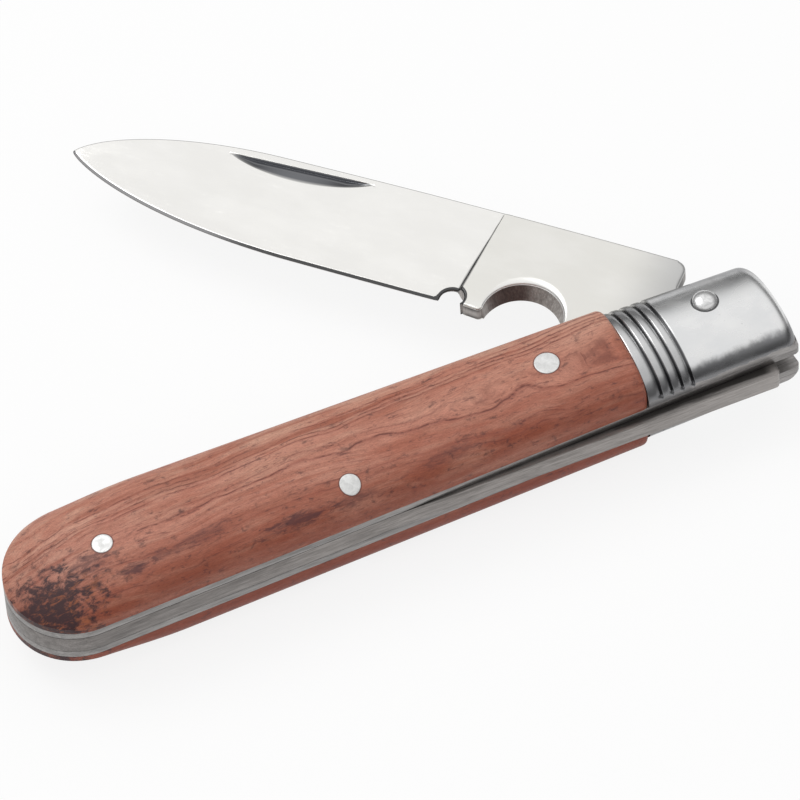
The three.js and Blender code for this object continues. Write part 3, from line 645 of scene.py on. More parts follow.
# Its faces
PLUNGE_REACH = 32.1
PLUNGE_LEAN = 0.078
PLUNGE_TOP = -8.67
BEVEL_WIDTH = 0.45
BEVEL_SHARE_AT_TIP = 0.3
BEVEL_HALF = 0.2
EDGE_HALF = 0.05
TIP_HALF = 0.45
TIP_TAPER = 1.5
GRIND_SLOPE = 0.065
NICK_START = np.array([50.2, -7.85])
NICK_END = np.array([71.0, -6.55])
NICK_DEPTH = 0.55
NICK_DROP = 2.3
NICK_FULLNESS = 0.85

# Width and depth of the round along each stretch of its rim
SHARP_RIM = (0.04, 0.02)
SPINE_RIM = (0.22, 0.16)
CORNER_RIM = (0.5, 0.4)
SHOULDER_RIM = (0.45, 0.4)
CUT_RIM = (0.3, 0.3)
LAND_RIM = (0.4, 0.3)
TANG_RIM = (0.15, 0.15)
NOTCH_REAR_RIM = (0.12, 0.1)
RIM_TURNS = np.radians([0, 20, 40, 60, 78, 90])
RIM_MARGIN = 0.08
LEAST_HALF = 0.04
SHARP_TURN = 0.4

# How finely it is divided
CURVE_STEPS = 600
TIP_START = 80
TIP_STEPS = 32
OUTLINE_STEP = 0.6
NOTCH_STEPS = 55
GRID_STEP = 0.8
GRID_ROW = 0.75
PLUNGE_ROWS = (-0.12, -0.05, 0.0, 0.07, 0.15, 0.25, 0.36, 0.48, 0.6, 0.75, 0.95)
BEVEL_ROWS = (0.6, 0.47, 0.43, 0.25)
NICK_EDGE_ROWS = (-0.06, 0.0, 0.05, 0.1, 0.16)
NICK_FLOOR_ROWS = (0.25, 0.5, 0.75, 0.94, 1.0, 1.06)


def spine_and_edge():
    """The blade's spine and cutting edge as dense curves."""
    drop = bezier([
        (SPINE_DROP_START, -SPINE_DROP_RISE),
        (lerp(SPINE_DROP_START, BLADE_LENGTH, DROP_BULGE), -SPINE_DROP_RISE * DROP_FULLNESS),
        (BLADE_LENGTH, -SPINE_DROP_RISE * DROP_NOSE),
        (BLADE_LENGTH, 0),
    ], CURVE_STEPS)
    belly = bezier([
        (EDGE_CURVE_START, EDGE_DEPTH),
        (lerp(EDGE_CURVE_START, BLADE_LENGTH, BELLY_BULGE), EDGE_DEPTH),
        (BLADE_LENGTH, EDGE_DEPTH * BELLY_NOSE),
        (BLADE_LENGTH, 0),
    ], CURVE_STEPS)
    share = np.linspace(0, 1, 120)
    rise = lerp(-SPINE_RISE, -SPINE_DROP_RISE, share ** SPINE_STRAIGHTNESS)
    line = np.column_stack([lerp(SHOULDER_REACH, SPINE_DROP_START, share), rise])
    share = np.linspace(0, 1, 60)
    depth = lerp(HEEL_DEPTH, EDGE_DEPTH, share ** HEEL_STRAIGHTNESS)
    heel = np.column_stack([lerp(HEEL_REACH, EDGE_CURVE_START, share), depth])
    return np.vstack([line[:-1], drop]), np.vstack([heel[:-1], belly])


SPINE_CURVE, EDGE_CURVE = spine_and_edge()


def spine_y(b):
    return np.interp(b, SPINE_CURVE[:, 0], SPINE_CURVE[:, 1])


def edge_y(b):
    return np.interp(b, EDGE_CURVE[:, 0], EDGE_CURVE[:, 1])


def ground_height(b, y):
    """Half thickness of the ground part."""
    b = np.asarray(b, float)
    along = np.clip((b - PLUNGE_REACH) / (BLADE_LENGTH - PLUNGE_REACH), 0, 1)
    top = spine_y(b)
    bottom = edge_y(b)
    back = lerp(HALF_BLADE - 0.02, TIP_HALF, along ** TIP_TAPER)
    back = np.minimum(back, BEVEL_HALF + GRIND_SLOPE * (bottom - top))
    bevel = np.minimum(BEVEL_WIDTH, (bottom - top) * BEVEL_SHARE_AT_TIP)
    down = np.clip((y - top) / np.maximum(bottom - bevel - top, 1e-6), 0, 1)
    face = lerp(back, BEVEL_HALF, down)
    last = np.clip((y - bottom + bevel) / np.maximum(bevel, 1e-6), 0, 1)
    return np.where(last > 0, lerp(BEVEL_HALF, EDGE_HALF, last), face)


def nick_depth(b, y):
    """Depth of the nail nick: a steep wall under its straight upper edge, a floor that rises."""
    share = np.clip((b - NICK_START[0]) / (NICK_END[0] - NICK_START[0]), 0, 1)
    upper = lerp(NICK_START[1], NICK_END[1], share)
    bow = 4 * share * (1 - share)
    width = NICK_DROP * bow ** NICK_FULLNESS + 1e-6
    inside = (y - upper) / width
    wall = np.clip((y - upper) / 0.1, 0, 1)
    depth = NICK_DEPTH * np.clip(bow * 1.6, 0, 1) * np.clip(1 - inside, 0, 1)
    return np.where((inside > 0) & (inside < 1), depth * wall, 0.0)


def plunge_reach(y):
    """Where the flat ricasso ends at a height on the blade."""
    return PLUNGE_REACH + PLUNGE_LEAN * (y - PLUNGE_TOP)


def front_height(b, y, nick=True):
    """Height of the blade's front face."""
    depth = HALF_BLADE - ground_height(np.maximum(b, PLUNGE_REACH + 0.1), y)
    ramp = smoothstep(b - plunge_reach(y), -0.05, 0.05 + 0.55 * np.maximum(depth, 0.02))
    height = HALF_BLADE - depth * ramp
    return height - nick_depth(b, y) if nick else height


def notch_rim(centre):
    """The notch's rim about a centre, from its lip at the kick to its lip at the tang."""
    start = math.asin((NOTCH_KICK_LIP - centre[1]) / NOTCH_RADIUS)
    end = -math.pi - math.asin((NOTCH_TANG_LIP - centre[1]) / NOTCH_RADIUS)
    return arc(centre, NOTCH_RADIUS, start, end, NOTCH_STEPS)


def stretch(points, rim):
    """A stretch of outline that is the same on both faces, with the width and depth of its rim."""
    points = np.asarray(points, float)
    count = len(points)
    width, depth = rim
    return points, points, np.full(count, width), np.full(count, depth), np.zeros(count, bool)


def ground_stretches():
    """From the shoulder along the spine, round the tip and back along the edge to the heel."""
    corner = arc(SHOULDER_CENTRE, SHOULDER_RADIUS, math.pi, math.pi * 1.5, 8)
    quarter = np.linspace(0, math.pi / 2, TIP_STEPS)
    spine_x = np.concatenate([
        np.arange(SHOULDER_CENTRE[0], TIP_START, OUTLINE_STEP),
        lerp(TIP_START, BLADE_LENGTH, np.sin(quarter[:-1])),
    ])
    edge_x = np.concatenate([
        lerp(TIP_START, BLADE_LENGTH, np.cos(quarter[1:])),
        np.arange(TIP_START - OUTLINE_STEP, HEEL_REACH + 0.24, -OUTLINE_STEP),
    ])
    edge = np.column_stack([edge_x, edge_y(edge_x)])
    return [
        stretch(corner[:-1], CORNER_RIM),
        stretch(np.column_stack([spine_x, spine_y(spine_x)]), SPINE_RIM),
        stretch(np.vstack([(BLADE_LENGTH, 0), edge, (HEEL_REACH, HEEL_CORNER_DEPTH)]), SHARP_RIM),
    ]


def kick_stretches():
    """Round the choil and the kick to the notch."""
    start = math.atan2(HEEL_CORNER_DEPTH - CHOIL_CENTRE[1], HEEL_REACH - CHOIL_CENTRE[0])
    end = -math.pi - math.asin(CHOIL_END_RISE / CHOIL_RADIUS)
    return [
        stretch(arc(CHOIL_CENTRE, CHOIL_RADIUS, start, end, 26)[1:], CUT_RIM),
        stretch(arc(*KICK_FRONT, 6), CUT_RIM),
        stretch(KICK_LAND, LAND_RIM),
        stretch(arc(*KICK_BACK, 8)[:-1], CUT_RIM),
    ]


def notch_stretch():
    """The notch. Its wall leans, so that its rim lies elsewhere on the rear face."""
    front = notch_rim(NOTCH_FRONT_CENTRE)
    depth_in = np.clip((NOTCH_FRONT_CENTRE[1] - front[:, 1]) / NOTCH_RADIUS, 0, 1)
    rim = 0.3 + 0.75 * depth_in ** 1.5
    return front, notch_rim(NOTCH_REAR_CENTRE), rim, 0.2 + 0.35 * rim, np.ones(len(rim), bool)


def tang_stretches(start):
    """From the notch round the tang to the shoulder."""
    tang = arc((0, 0), TANG_RADIUS, TANG_FLAT_ANGLE, math.pi * 1.5, 40)
    inner = (SHOULDER_REACH, -TANG_RADIUS)
    return [
        stretch(straight(start, tang[0], 1.0)[1:-1], TANG_RIM),
        stretch(tang, TANG_RIM),
        stretch(straight((0, -TANG_RADIUS), inner, 0.8)[1:], TANG_RIM),
        stretch(straight(inner, (SHOULDER_REACH, SHOULDER_CENTRE[1]), 0.4)[1:-1], SHOULDER_RIM),
    ]


def blade_outline():
    """The blade's front and rear outlines, point for point, with the rim's width and depth and
    whether a point lies in the notch."""
    notch = notch_stretch()
    parts = [*ground_stretches(), *kick_stretches(), notch, *tang_stretches(notch[0][-1])]
    return [np.concatenate(group) for group in zip(*parts)]


def slope_normal(plan, nick):
    """Directions out of the front face at places in plan."""
    step = 0.03
    b, y = plan[:, 0], plan[:, 1]
    slope_b = (front_height(b + step, y, nick) - front_height(b - step, y, nick)) / (2 * step)
    slope_y = (front_height(b, y + step, nick) - front_height(b, y - step, nick)) / (2 * step)
    normal = np.column_stack([-slope_b, -slope_y, np.ones(len(plan))])
    return normal / np.linalg.norm(normal, axis=1, keepdims=True)


def rim_rings(outline, outward, width, depth, nick):
    """Rings of points and normals that round the rim of a face, from its wall inwards."""
    inner = outline - outward * (width + RIM_MARGIN)[:, None]
    base = slope_normal(inner, nick)
    side = np.column_stack([outward, np.zeros(len(outline))])
    points = []
    normals = []
    for turn in RIM_TURNS:
        plan = outline - outward * (width * (1 - math.cos(turn)))[:, None]
        drop = np.minimum(depth * (1 - math.sin(turn)), front_height(*inner.T, nick) - LEAST_HALF)
        z = front_height(*plan.T, nick) - drop
        points.append(np.column_stack([plan, np.maximum(z, LEAST_HALF)]))
        level = (math.sin(turn) / np.maximum(depth, 0.01))[:, None]
        normal = side * (math.cos(turn) / width)[:, None] + base * level
        normals.append(normal / np.linalg.norm(normal, axis=1, keepdims=True))
    return points, normals


def filled(loop, nick):
    """Points inside a closed line and triangles over both. The line's points keep their numbers and
    those inside follow."""
    count = len(loop)
    coords = [Vector(p) for p in np.vstack([loop, interior_points(loop, nick)])]
    ring = [(i, (i + 1) % count) for i in range(count)]
    order = list(range(count)) if signed_area(loop) > 0 else list(reversed(range(count)))
    result = delaunay_2d_cdt(coords, ring, [order], 1, 1e-5)
    places, triangles, sources = result[0], result[2], result[3]
    inner = []
    number = {}
    for i, source in enumerate(sources):
        rims = [j for j in source if j < count]
        if rims:
            number[i] = rims[0]
        else:
            number[i] = count + len(inner)
            inner.append((places[i][0], places[i][1]))
    return np.array(inner), [tuple(number[i] for i in triangle) for triangle in triangles]


def skin(outline, width, depth, nick):
    """One face of the blade: rings that round its rim and a triangulated inside. The rim narrows
    towards sharp corners."""
    outward, after, before = outward_normals(outline)
    corner = np.abs(after[:, 0] * before[:, 1] - after[:, 1] * before[:, 0])
    reach = np.full(len(outline), 99.0)
    for i in np.nonzero(corner > SHARP_TURN)[0]:
        reach = np.minimum(reach, np.linalg.norm(outline - outline[i], axis=1))
    width = np.minimum(width, 0.05 + 0.45 * reach)
    points, normals = rim_rings(outline, outward, width, depth, nick)
    loop = points[-1][:, :2]
    inner, triangles = filled(loop, nick)
    points.append(np.column_stack([inner, front_height(*inner.T, nick)]))
    normals.append(slope_normal(inner, nick))
    faces = grid_faces(len(RIM_TURNS), len(outline), closed=True)
    if signed_area(loop) <= 0:
        faces = turned_over(faces)
    start = (len(RIM_TURNS) - 1) * len(outline)
    faces += [tuple(start + i for i in triangle) for triangle in triangles]
    return np.vstack(points), np.vstack(normals), faces


def distance_to(loop, points):
    """How far points in plan are from a closed line."""
    a = loop
    d = np.roll(loop, -1, axis=0) - a
    length = np.maximum(np.sum(d * d, axis=1), 1e-12)
    best = np.full(len(points), 1e9)
    for start in range(0, len(points), 2000):
        part = points[start:start + 2000]
        offset = part[:, None, :] - a[None]
        share = np.clip(np.sum(offset * d[None], axis=2) / length, 0, 1)
        away = offset - share[:, :, None] * d[None]
        best[start:start + 2000] = np.sqrt(np.min(np.sum(away * away, axis=2), axis=1))
    return best


def inside_loop(loop, points):
    x, y = points[:, 0], points[:, 1]
    inside = np.zeros(len(points), bool)
    for (x1, y1), (x2, y2) in zip(loop, np.roll(loop, -1, axis=0)):
        if y1 == y2:
            continue
        crosses = ((y1 > y) != (y2 > y)) & (x < (x2 - x1) * (y - y1) / (y2 - y1) + x1)
        inside ^= crosses
    return inside


def interior_points(loop, nick):
    """Points inside a face: an even grid, denser rows along the plunge, bevel and nick."""
    along = np.arange(-5, 91, GRID_STEP)
    rows = []
    for number, y in enumerate(np.arange(-9.5, 7.2, GRID_ROW)):
        rows.append(np.column_stack([along + (number % 2) * GRID_STEP / 2, np.full(len(along), y)]))
    grid = np.vstack(rows)
    y = np.arange(-8.8, 6.6, 0.35)
    special = [np.column_stack([plunge_reach(y) + offset, y]) for offset in PLUNGE_ROWS]
    b = np.arange(36.4, 90.4, 0.5)
    special += [np.column_stack([b, edge_y(b) - offset]) for offset in BEVEL_ROWS]
    if nick:
        share = np.linspace(0, 1, 70)
        upper = NICK_START + (NICK_END - NICK_START) * share[:, None]
        bow = NICK_DROP * (4 * share * (1 - share)) ** NICK_FULLNESS
        special += [upper + [0, offset] for offset in NICK_EDGE_ROWS]
        wide = bow > 0.3
        for part in NICK_FLOOR_ROWS:
            special.append(np.column_stack([upper[wide, 0], upper[wide, 1] + bow[wide] * part]))
    special = np.vstack(special)
    special = special[inside_loop(loop, special) & (distance_to(loop, special) > 0.05)]
    grid = grid[inside_loop(loop, grid) & (distance_to(loop, grid) > 0.3)]
    for start in range(0, len(special), 500):
        part = special[start:start + 500]
        near = np.min(np.linalg.norm(grid[:, None, :] - part[None], axis=2), axis=1)
        grid = grid[near > 0.3]
    return np.vstack([special, grid])


def blade_walls(front, points, base):
    """Quads from the front face's rim to the rear one's, which starts at base, with their normals."""
    count = len(front)
    outward, _, _ = outward_normals(front)
    rear_rim = points[base:base + count]
    span = points[:count, 2] - rear_rim[:, 2]
    shift = np.sum((rear_rim[:, :2] - points[:count, :2]) * outward, axis=1)
    side = np.column_stack([outward, shift / np.maximum(span, 0.05)])
    side /= np.linalg.norm(side, axis=1, keepdims=True)
    anticlockwise = signed_area(front) > 0
    quads = []
    for i in range(count):
        j = (i + 1) % count
        quads.append((i, base + i, base + j, j) if anticlockwise else (j, base + j, base + i, i))
    return quads, [side[k % base] for quad in quads for k in quad]


def blade_masks(points, in_notch):
    """What the blade's finish, with its painted shade and highlight, goes by: the notch's rim, the nick,
    and distances to edge and spine.
    """
    count = len(in_notch)
    rim = np.zeros(len(points))
    last = len(RIM_TURNS) - 1
    for ring in range(len(RIM_TURNS)):
        rim[ring * count:(ring + 1) * count] = np.where(in_notch, 1 - ring / last, 0)
    b, y, z = points.T
    from_choil = np.abs(np.hypot(b - CHOIL_CENTRE[0], y - CHOIL_CENTRE[1]) - CHOIL_RADIUS)
    return {
        "rim": rim,
        "nick": np.clip(nick_depth(b, y) / NICK_DEPTH * (z > 0) * 4, 0, 1),
        "to_edge": np.minimum(np.where(b > HEEL_REACH + 0.04, edge_y(b) - y, 9), from_choil),
        "to_spine": y - spine_y(b),
    }


def blade_mesh():
    """The blade at its rest angle: points, faces, corner normals, flat points, masks and walls."""
    front, rear, width, depth, in_notch = blade_outline()
    top, top_normals, faces = skin(front, width, depth, True)
    rear_width = np.where(in_notch, NOTCH_REAR_RIM[0], width)
    rear_depth = np.where(in_notch, NOTCH_REAR_RIM[1], depth)
    low, low_normals, low_faces = skin(rear, rear_width, rear_depth, False)
    low[:, 2] *= -1
    low_normals[:, 2] *= -1
    points = np.vstack([top, low])
    base = len(top)
    corner_normals = [top_normals[i] for face in faces for i in face]
    for face in turned_over(low_faces):
        faces.append(tuple(base + i for i in face))
        corner_normals += [low_normals[i] for i in face]
    quads, wall_normals = blade_walls(front, points, base)
    faces += quads
    normals = rotated(np.array(corner_normals + wall_normals), BLADE_REST_ANGLE)
    walls = range(len(faces) - len(quads), len(faces))
    masks = blade_masks(points, in_notch)
    return rotated(points, BLADE_REST_ANGLE), faces, normals, points, masks, walls


# Materials

class Nodes:
    """A node tree and the calls that build it."""

    def __init__(self, tree):
        self.tree = tree

    def node(self, kind, inputs=None, **settings):
        node = self.tree.nodes.new(kind)
        for key, value in settings.items():
            setattr(node, key, value)
        for key, value in (inputs or {}).items():
            self.feed(node.inputs[key], value)
        return node

    def feed(self, socket, value):
        if isinstance(value, bpy.types.NodeSocket):
            self.tree.links.new(value, socket)
        elif value is not None:
            socket.default_value = value

    def ramp(self, value, *stops):
        """A colour or grey that runs through stops of (position, value)."""
        node = self.node("ShaderNodeValToRGB", {0: value})
        points = node.color_ramp.elements
        while len(points) < len(stops):
            points.new(0.5)
        for point, (position, colour) in zip(points, stops):
            point.position = position
            point.color = (*colour, 1) if isinstance(colour, tuple) else (colour, colour, colour, 1)
        return node.outputs[0]

    def mix(self, share, a, b, blend="MIX"):
        node = self.node("ShaderNodeMix", data_type="RGBA", blend_type=blend)
        self.feed(node.inputs[0], share)
        self.feed(node.inputs[6], (*a, 1) if isinstance(a, tuple) else a)
        self.feed(node.inputs[7], (*b, 1) if isinstance(b, tuple) else b)
        return node.outputs[2]

    def math(self, operation, *values):
        return self.node("ShaderNodeMath", dict(enumerate(values)), operation=operation).outputs[0]

    def times(self, a, b):
        return self.math("MULTIPLY", a, b)

    def plus(self, a, b):
        return self.math("ADD", a, b)

    def span(self, value, low, high, to_low=0.0, to_high=1.0, linear=False):
        """A value mapped smoothly from one range to another."""
        inputs = {0: value, 1: low, 2: high, 3: to_low, 4: to_high}
        kind = "LINEAR" if linear else "SMOOTHSTEP"
        return self.node("ShaderNodeMapRange", inputs, interpolation_type=kind).outputs[0]


class Finish(Nodes):
    """A material that works in the millimetres of its piece's place attribute."""

    def __init__(self, name, metallic=1.0):
        self.material = bpy.data.materials.new(name)
        self.material.use_nodes = True
        super().__init__(self.material.node_tree)
        self.shader = self.tree.nodes["Principled BSDF"]
        self.finish("Metallic", metallic)
        self.place = self.attribute("place", "Vector")
        self.colour = None

    def finish(self, socket, value):
        self.feed(self.shader.inputs[socket], value)

    def coat(self, share, colour, blend="MIX"):
        """Lays a colour over what is there, as thickly as share."""
        self.colour = self.mix(share, self.colour, colour, blend)

    def attribute(self, name, output="Fac"):
        return self.node("ShaderNodeAttribute", attribute_name=name).outputs[output]

    def vector(self, operation, a, b=(0, 0, 0), output="Vector"):
        return self.node("ShaderNodeVectorMath", {0: a, 1: b}, operation=operation).outputs[output]

    def placed(self, vector, shift, scale):
        mapping = self.node("ShaderNodeMapping", {0: vector or self.place, 1: shift, 3: scale})
        return mapping.outputs[0]

    def noise(self, scale, detail=3.0, roughness=0.55, shift=(0, 0, 0), distortion=0.0, vector=None):
        """Noise over millimetres, stretched by a scale on each axis, from 0 to 1."""
        inputs = {
            "Vector": self.placed(vector, shift, scale),
            "Scale": 1.0,
            "Detail": detail,
            "Roughness": roughness,
            "Distortion": distortion,
        }
        return self.node("ShaderNodeTexNoise", inputs).outputs[0]

    def axis(self, name, vector=None):
        return self.node("ShaderNodeSeparateXYZ", {0: vector or self.place}).outputs["XYZ".index(name)]

    def near(self, centre, reach):
        """1 at a place in millimetres, 0 at the given reach on each axis and beyond."""
        shift = tuple(-c / r for c, r in zip(centre, reach))
        place = self.placed(None, shift, tuple(1 / r for r in reach))
        return self.span(self.vector("LENGTH", place, output="Value"), 0.0, 1.0, 1.0, 0.0)

    def away(self, centre):
        """Distance in plan from a place, in millimetres."""
        shifted = self.vector("SUBTRACT", self.place, (*centre, 0))
        flat = self.vector("MULTIPLY", shifted, (1, 1, 0))
        return self.vector("LENGTH", flat, output="Value")

    def relief(self, height, depth, before=None):
        """Bumps as deep as height times depth in millimetres."""
        inputs = {"Height": height, "Distance": depth / 1000, "Strength": 1.0}
        node = self.node("ShaderNodeBump", inputs)
        if before is not None:
            self.feed(node.inputs["Normal"], before)
        return node.outputs[0]


# Long growth lines of the wood: place across the grain in millimetres and darkness
GROWTH_LINES = (
    (-6.1, 0.6), (-3.7, 0.55), (-2.8, 0.75), (0, 0.95), (0.8, 0.45), (2.9, 0.85),
    (3.5, 0.95), (4.1, 0.8), (4.9, 0.9),
)
# How far the grain is drawn towards the spine along the handle: place along it and millimetres
GRAIN_BENDS = (
    (-100, 0.4), (-83, 1.4), (-62, 1.2), (-49, 2.2), (-40, 3.3), (-32, 3.9),
    (-27, 3.5), (-22, 4.1), (-12, 4.8),
)
GRAIN_SPAN = 16
# Dark patches of the wood: centre, reach and strength
DARK_PATCHES = (
    ((-89.5, -1.8, 4), (6, 2.8, 30), 0.72),
    ((-84.6, -5.4, 4), (5.5, 1.6, 30), 0.85),
    ((-80.5, -5.2, 4), (5, 1.4, 30), 0.5),
    ((-74.5, -4.8, 4), (7, 2, 30), 0.45),
    ((-62, -7.4, 4), (9, 1.5, 30), 0.8),
    ((-54.5, -7.6, 4), (7, 1.2, 30), 0.55),
    ((-41, -7, 4), (9, 1.6, 30), 0.4),
)


def grain_place(f):
    """A vector that follows the grain: place across it in y."""
    x, y, z = f.axis("X"), f.axis("Y"), f.axis("Z")
    along = f.span(x, GRAIN_BENDS[0][0], GRAIN_BENDS[-1][0], linear=True)
    first, last = GRAIN_BENDS[0][0], GRAIN_BENDS[-1][0]
    stops = [((place - first) / (last - first), bend / GRAIN_SPAN) for place, bend in GRAIN_BENDS]
    bend = f.times(f.ramp(along, *stops), GRAIN_SPAN)
    front = f.span(z, -1, 1)
    pull = f.times(f.times(bend, f.span(y, -4.5, 2.5, 1, 0)), front)
    waves = f.noise((0.05, 0.12, 0.2), detail=2, shift=(3.1, 0.4, 0.2))
    across = f.plus(f.plus(y, pull), f.span(waves, 0.2, 0.8, -0.65, 0.65))
    return f.node("ShaderNodeCombineXYZ", {0: x, 1: across, 2: z}).outputs[0]


def wood_ground(f, flow, fibres):
    """The wood's broad tones, darker along the spine and the rear, with its fibres. The darkening along the
    spine is partly painted shade, and the tan towards the opening side is partly a painted sheen.
    """
    y, z = f.axis("Y"), f.axis("Z")
    tone = f.noise((0.035, 0.3, 0.25), vector=flow)
    reds = (0.28, (0.36, 0.125, 0.08)), (0.5, (0.46, 0.188, 0.13)), (0.72, (0.54, 0.262, 0.188))
    f.colour = f.ramp(tone, *reds)
    cloud = f.noise((0.12, 0.5, 0.45), detail=4, shift=(8, 2, 5))
    f.coat(f.span(cloud, 0.5, 0.72, 0, 0.5), (0.36, 0.10, 0.055))
    # Darker along the spine: the wood's own tone, deepened by painted shade on the side turned from the
    # light.
    low = f.times(f.span(y, -8.4, -0.5, 0.88, 0), f.span(cloud, 0.25, 0.6, 0.55, 1))
    f.coat(low, (0.255, 0.05, 0.022))
    # Tan towards the opening side: the wood's own tone, brightened by a painted sheen on the side facing
    # the light.
    high = f.noise((0.1, 0.6, 0.6), shift=(1, 9, 4), vector=flow)
    tan = f.times(f.span(high, 0.4, 0.7, 0.1, 0.75), f.span(y, -3, 6, 0.35, 1))
    f.coat(tan, (0.575, 0.325, 0.235))
    f.coat(f.span(z, -4, -1, 0.85, 0), (0.25, 0.043, 0.018))
    bands = f.noise((0.02, 0.8, 0.4), roughness=0.6, shift=(6, 2, 9), vector=flow)
    f.coat(f.span(bands, 0.5, 0.66, 0, 0.55), (0.29, 0.082, 0.046))
    f.coat(f.times(f.near((-16, 4, 5), (10, 6, 30)), 0.65), (0.56, 0.30, 0.22))
    f.coat(f.times(f.near((-100, -3.5, 3), (12, 9, 30)), 0.5), (0.2, 0.06, 0.042))
    f.coat(0.75, f.ramp(fibres, (0.3, 0.36), (0.7, 0.64)), "OVERLAY")
    dust = f.noise((3.5, 8, 8), roughness=0.7, shift=(3, 3, 1))
    f.coat(0.55, f.ramp(dust, (0.3, 0.36), (0.7, 0.64)), "OVERLAY")


def growth_lines(f, flow):
    """Long dark lines, broken along the grain, each with a soft shade beside it."""
    jitter = f.noise((0.16, 0.06, 0.1), roughness=0.42, shift=(1, 6, 2))
    jitter = f.span(jitter, 0.2, 0.8, -0.36, 0.36)
    across = f.plus(f.axis("Y", flow), jitter)
    across = f.math("MULTIPLY_ADD", across, 1 / GRAIN_SPAN, 0.5)
    stops = []
    shades = []
    for place, darkness in GROWTH_LINES:
        position = place / GRAIN_SPAN + 0.5
        stops += [(position - 0.008, 0), (position, darkness), (position + 0.006, 0)]
        shades += [(position - 0.024, 0), (position, darkness * 0.55), (position + 0.012, 0)]
    broken = f.noise((0.45, 0.8, 0.8), detail=4, roughness=0.7, shift=(2, 3, 4))
    patchy = f.noise((0.05, 0.3, 0.3), shift=(1, 4, 8))
    shade = f.times(f.ramp(across, *shades), f.span(patchy, 0.35, 0.6, 0.1, 1))
    f.coat(shade, (0.24, 0.06, 0.04))
    line = f.times(f.ramp(across, *stops), f.span(broken, 0.42, 0.58, 0.06, 0.95))
    f.coat(line, (0.10, 0.024, 0.02))


def faint_lines(f, flow):
    """Short faint lines between the long ones."""
    spread = f.noise((0.06, 0.3, 0.3), detail=2, shift=(5, 1.7, 0))
    faint = f.math("MULTIPLY_ADD", spread, 3, f.times(f.axis("Y", flow), 1.15))
    faint = f.span(f.math("FRACT", faint), 0.82, 1)
    dashes = f.noise((0.3, 1.6, 1.6), roughness=0.6, shift=(7, 3, 4), vector=flow)
    faint = f.times(faint, f.span(dashes, 0.54, 0.64, 0, 0.6))
    f.coat(faint, (0.17, 0.045, 0.035))


def wood_pores(f, flow):
    """Where the short dark pores lie."""
    pores = f.noise((0.9, 9, 9), detail=2, roughness=0.5, shift=(0, 4, 7), vector=flow)
    grouped = f.noise((0.06, 0.5, 0.35), detail=2, shift=(4, 6, 1), vector=flow)
    return f.times(f.span(pores, 0.62, 0.7), f.span(grouped, 0.45, 0.62))


def dark_figure(f):
    """Dark patches along the spine and the burl at the butt with its lighter flecks."""
    figure = f.noise((0.5, 1.6, 1.6), detail=6, roughness=0.75, shift=(9, 5, 3), distortion=0.4)
    for centre, reach, depth in DARK_PATCHES:
        patch = f.plus(f.near(centre, reach), f.span(figure, 0.3, 0.7, -0.55, 0.35))
        f.coat(f.span(patch, 0.1, 0.95, 0, depth), (0.085, 0.03, 0.032))
    speckle = f.noise((0.6, 0.95, 0.95), detail=6, roughness=0.68, shift=(6, 1, 2), distortion=0.3)
    burl = f.near((-96.6, -4.8, 3), (12, 7.8, 30))
    knot = f.span(f.plus(burl, f.span(speckle, 0.25, 0.75, -0.6, 0.5)), 0.12, 0.72)
    f.coat(f.times(knot, 0.95), (0.036, 0.016, 0.02))
    flecks = f.noise((0.5, 1.5, 1.5), detail=4, roughness=0.65, shift=(2, 8, 6), distortion=0.5)
    fleck = f.times(f.span(flecks, 0.5, 0.68), f.near((-94, -6.2, 3), (11, 6.5, 30)))
    f.coat(f.times(fleck, 0.85), (0.36, 0.11, 0.045))


def wood_finish():
    """Reddish hardwood: long wavy growth lines, short dark pores, and a dark burl at the butt."""
    f = Finish("scale_wood", metallic=0)
    flow = grain_place(f)
    fibres = f.noise((0.7, 10, 10), detail=4, roughness=0.7, vector=flow)
    pore = wood_pores(f, flow)
    wood_ground(f, flow, fibres)
    growth_lines(f, flow)
    faint_lines(f, flow)
    f.coat(f.times(pore, 0.7), (0.12, 0.03, 0.022))
    dark_figure(f)
    for centre, radius in (
        (SCALE_PIN, SCALE_PIN_RADIUS),
        (MIDDLE_PIN, THROUGH_PIN_RADIUS),
        (BUTT_PIN, THROUGH_PIN_RADIUS),
    ):
        stain = f.span(f.away(centre), radius + 0.04, radius + 0.22, 0.75, 0)
        f.coat(stain, (0.10, 0.035, 0.03))
    f.finish("Base Color", f.colour)
    f.finish("Roughness", f.span(fibres, 0.3, 0.7, 0.55, 0.42))
    f.finish("Specular IOR Level", 0.3)
    height = f.relief(fibres, 0.01)
    height = f.relief(f.math("SUBTRACT", 1, pore), 0.014, height)
    f.finish("Normal", height)
    return f.material


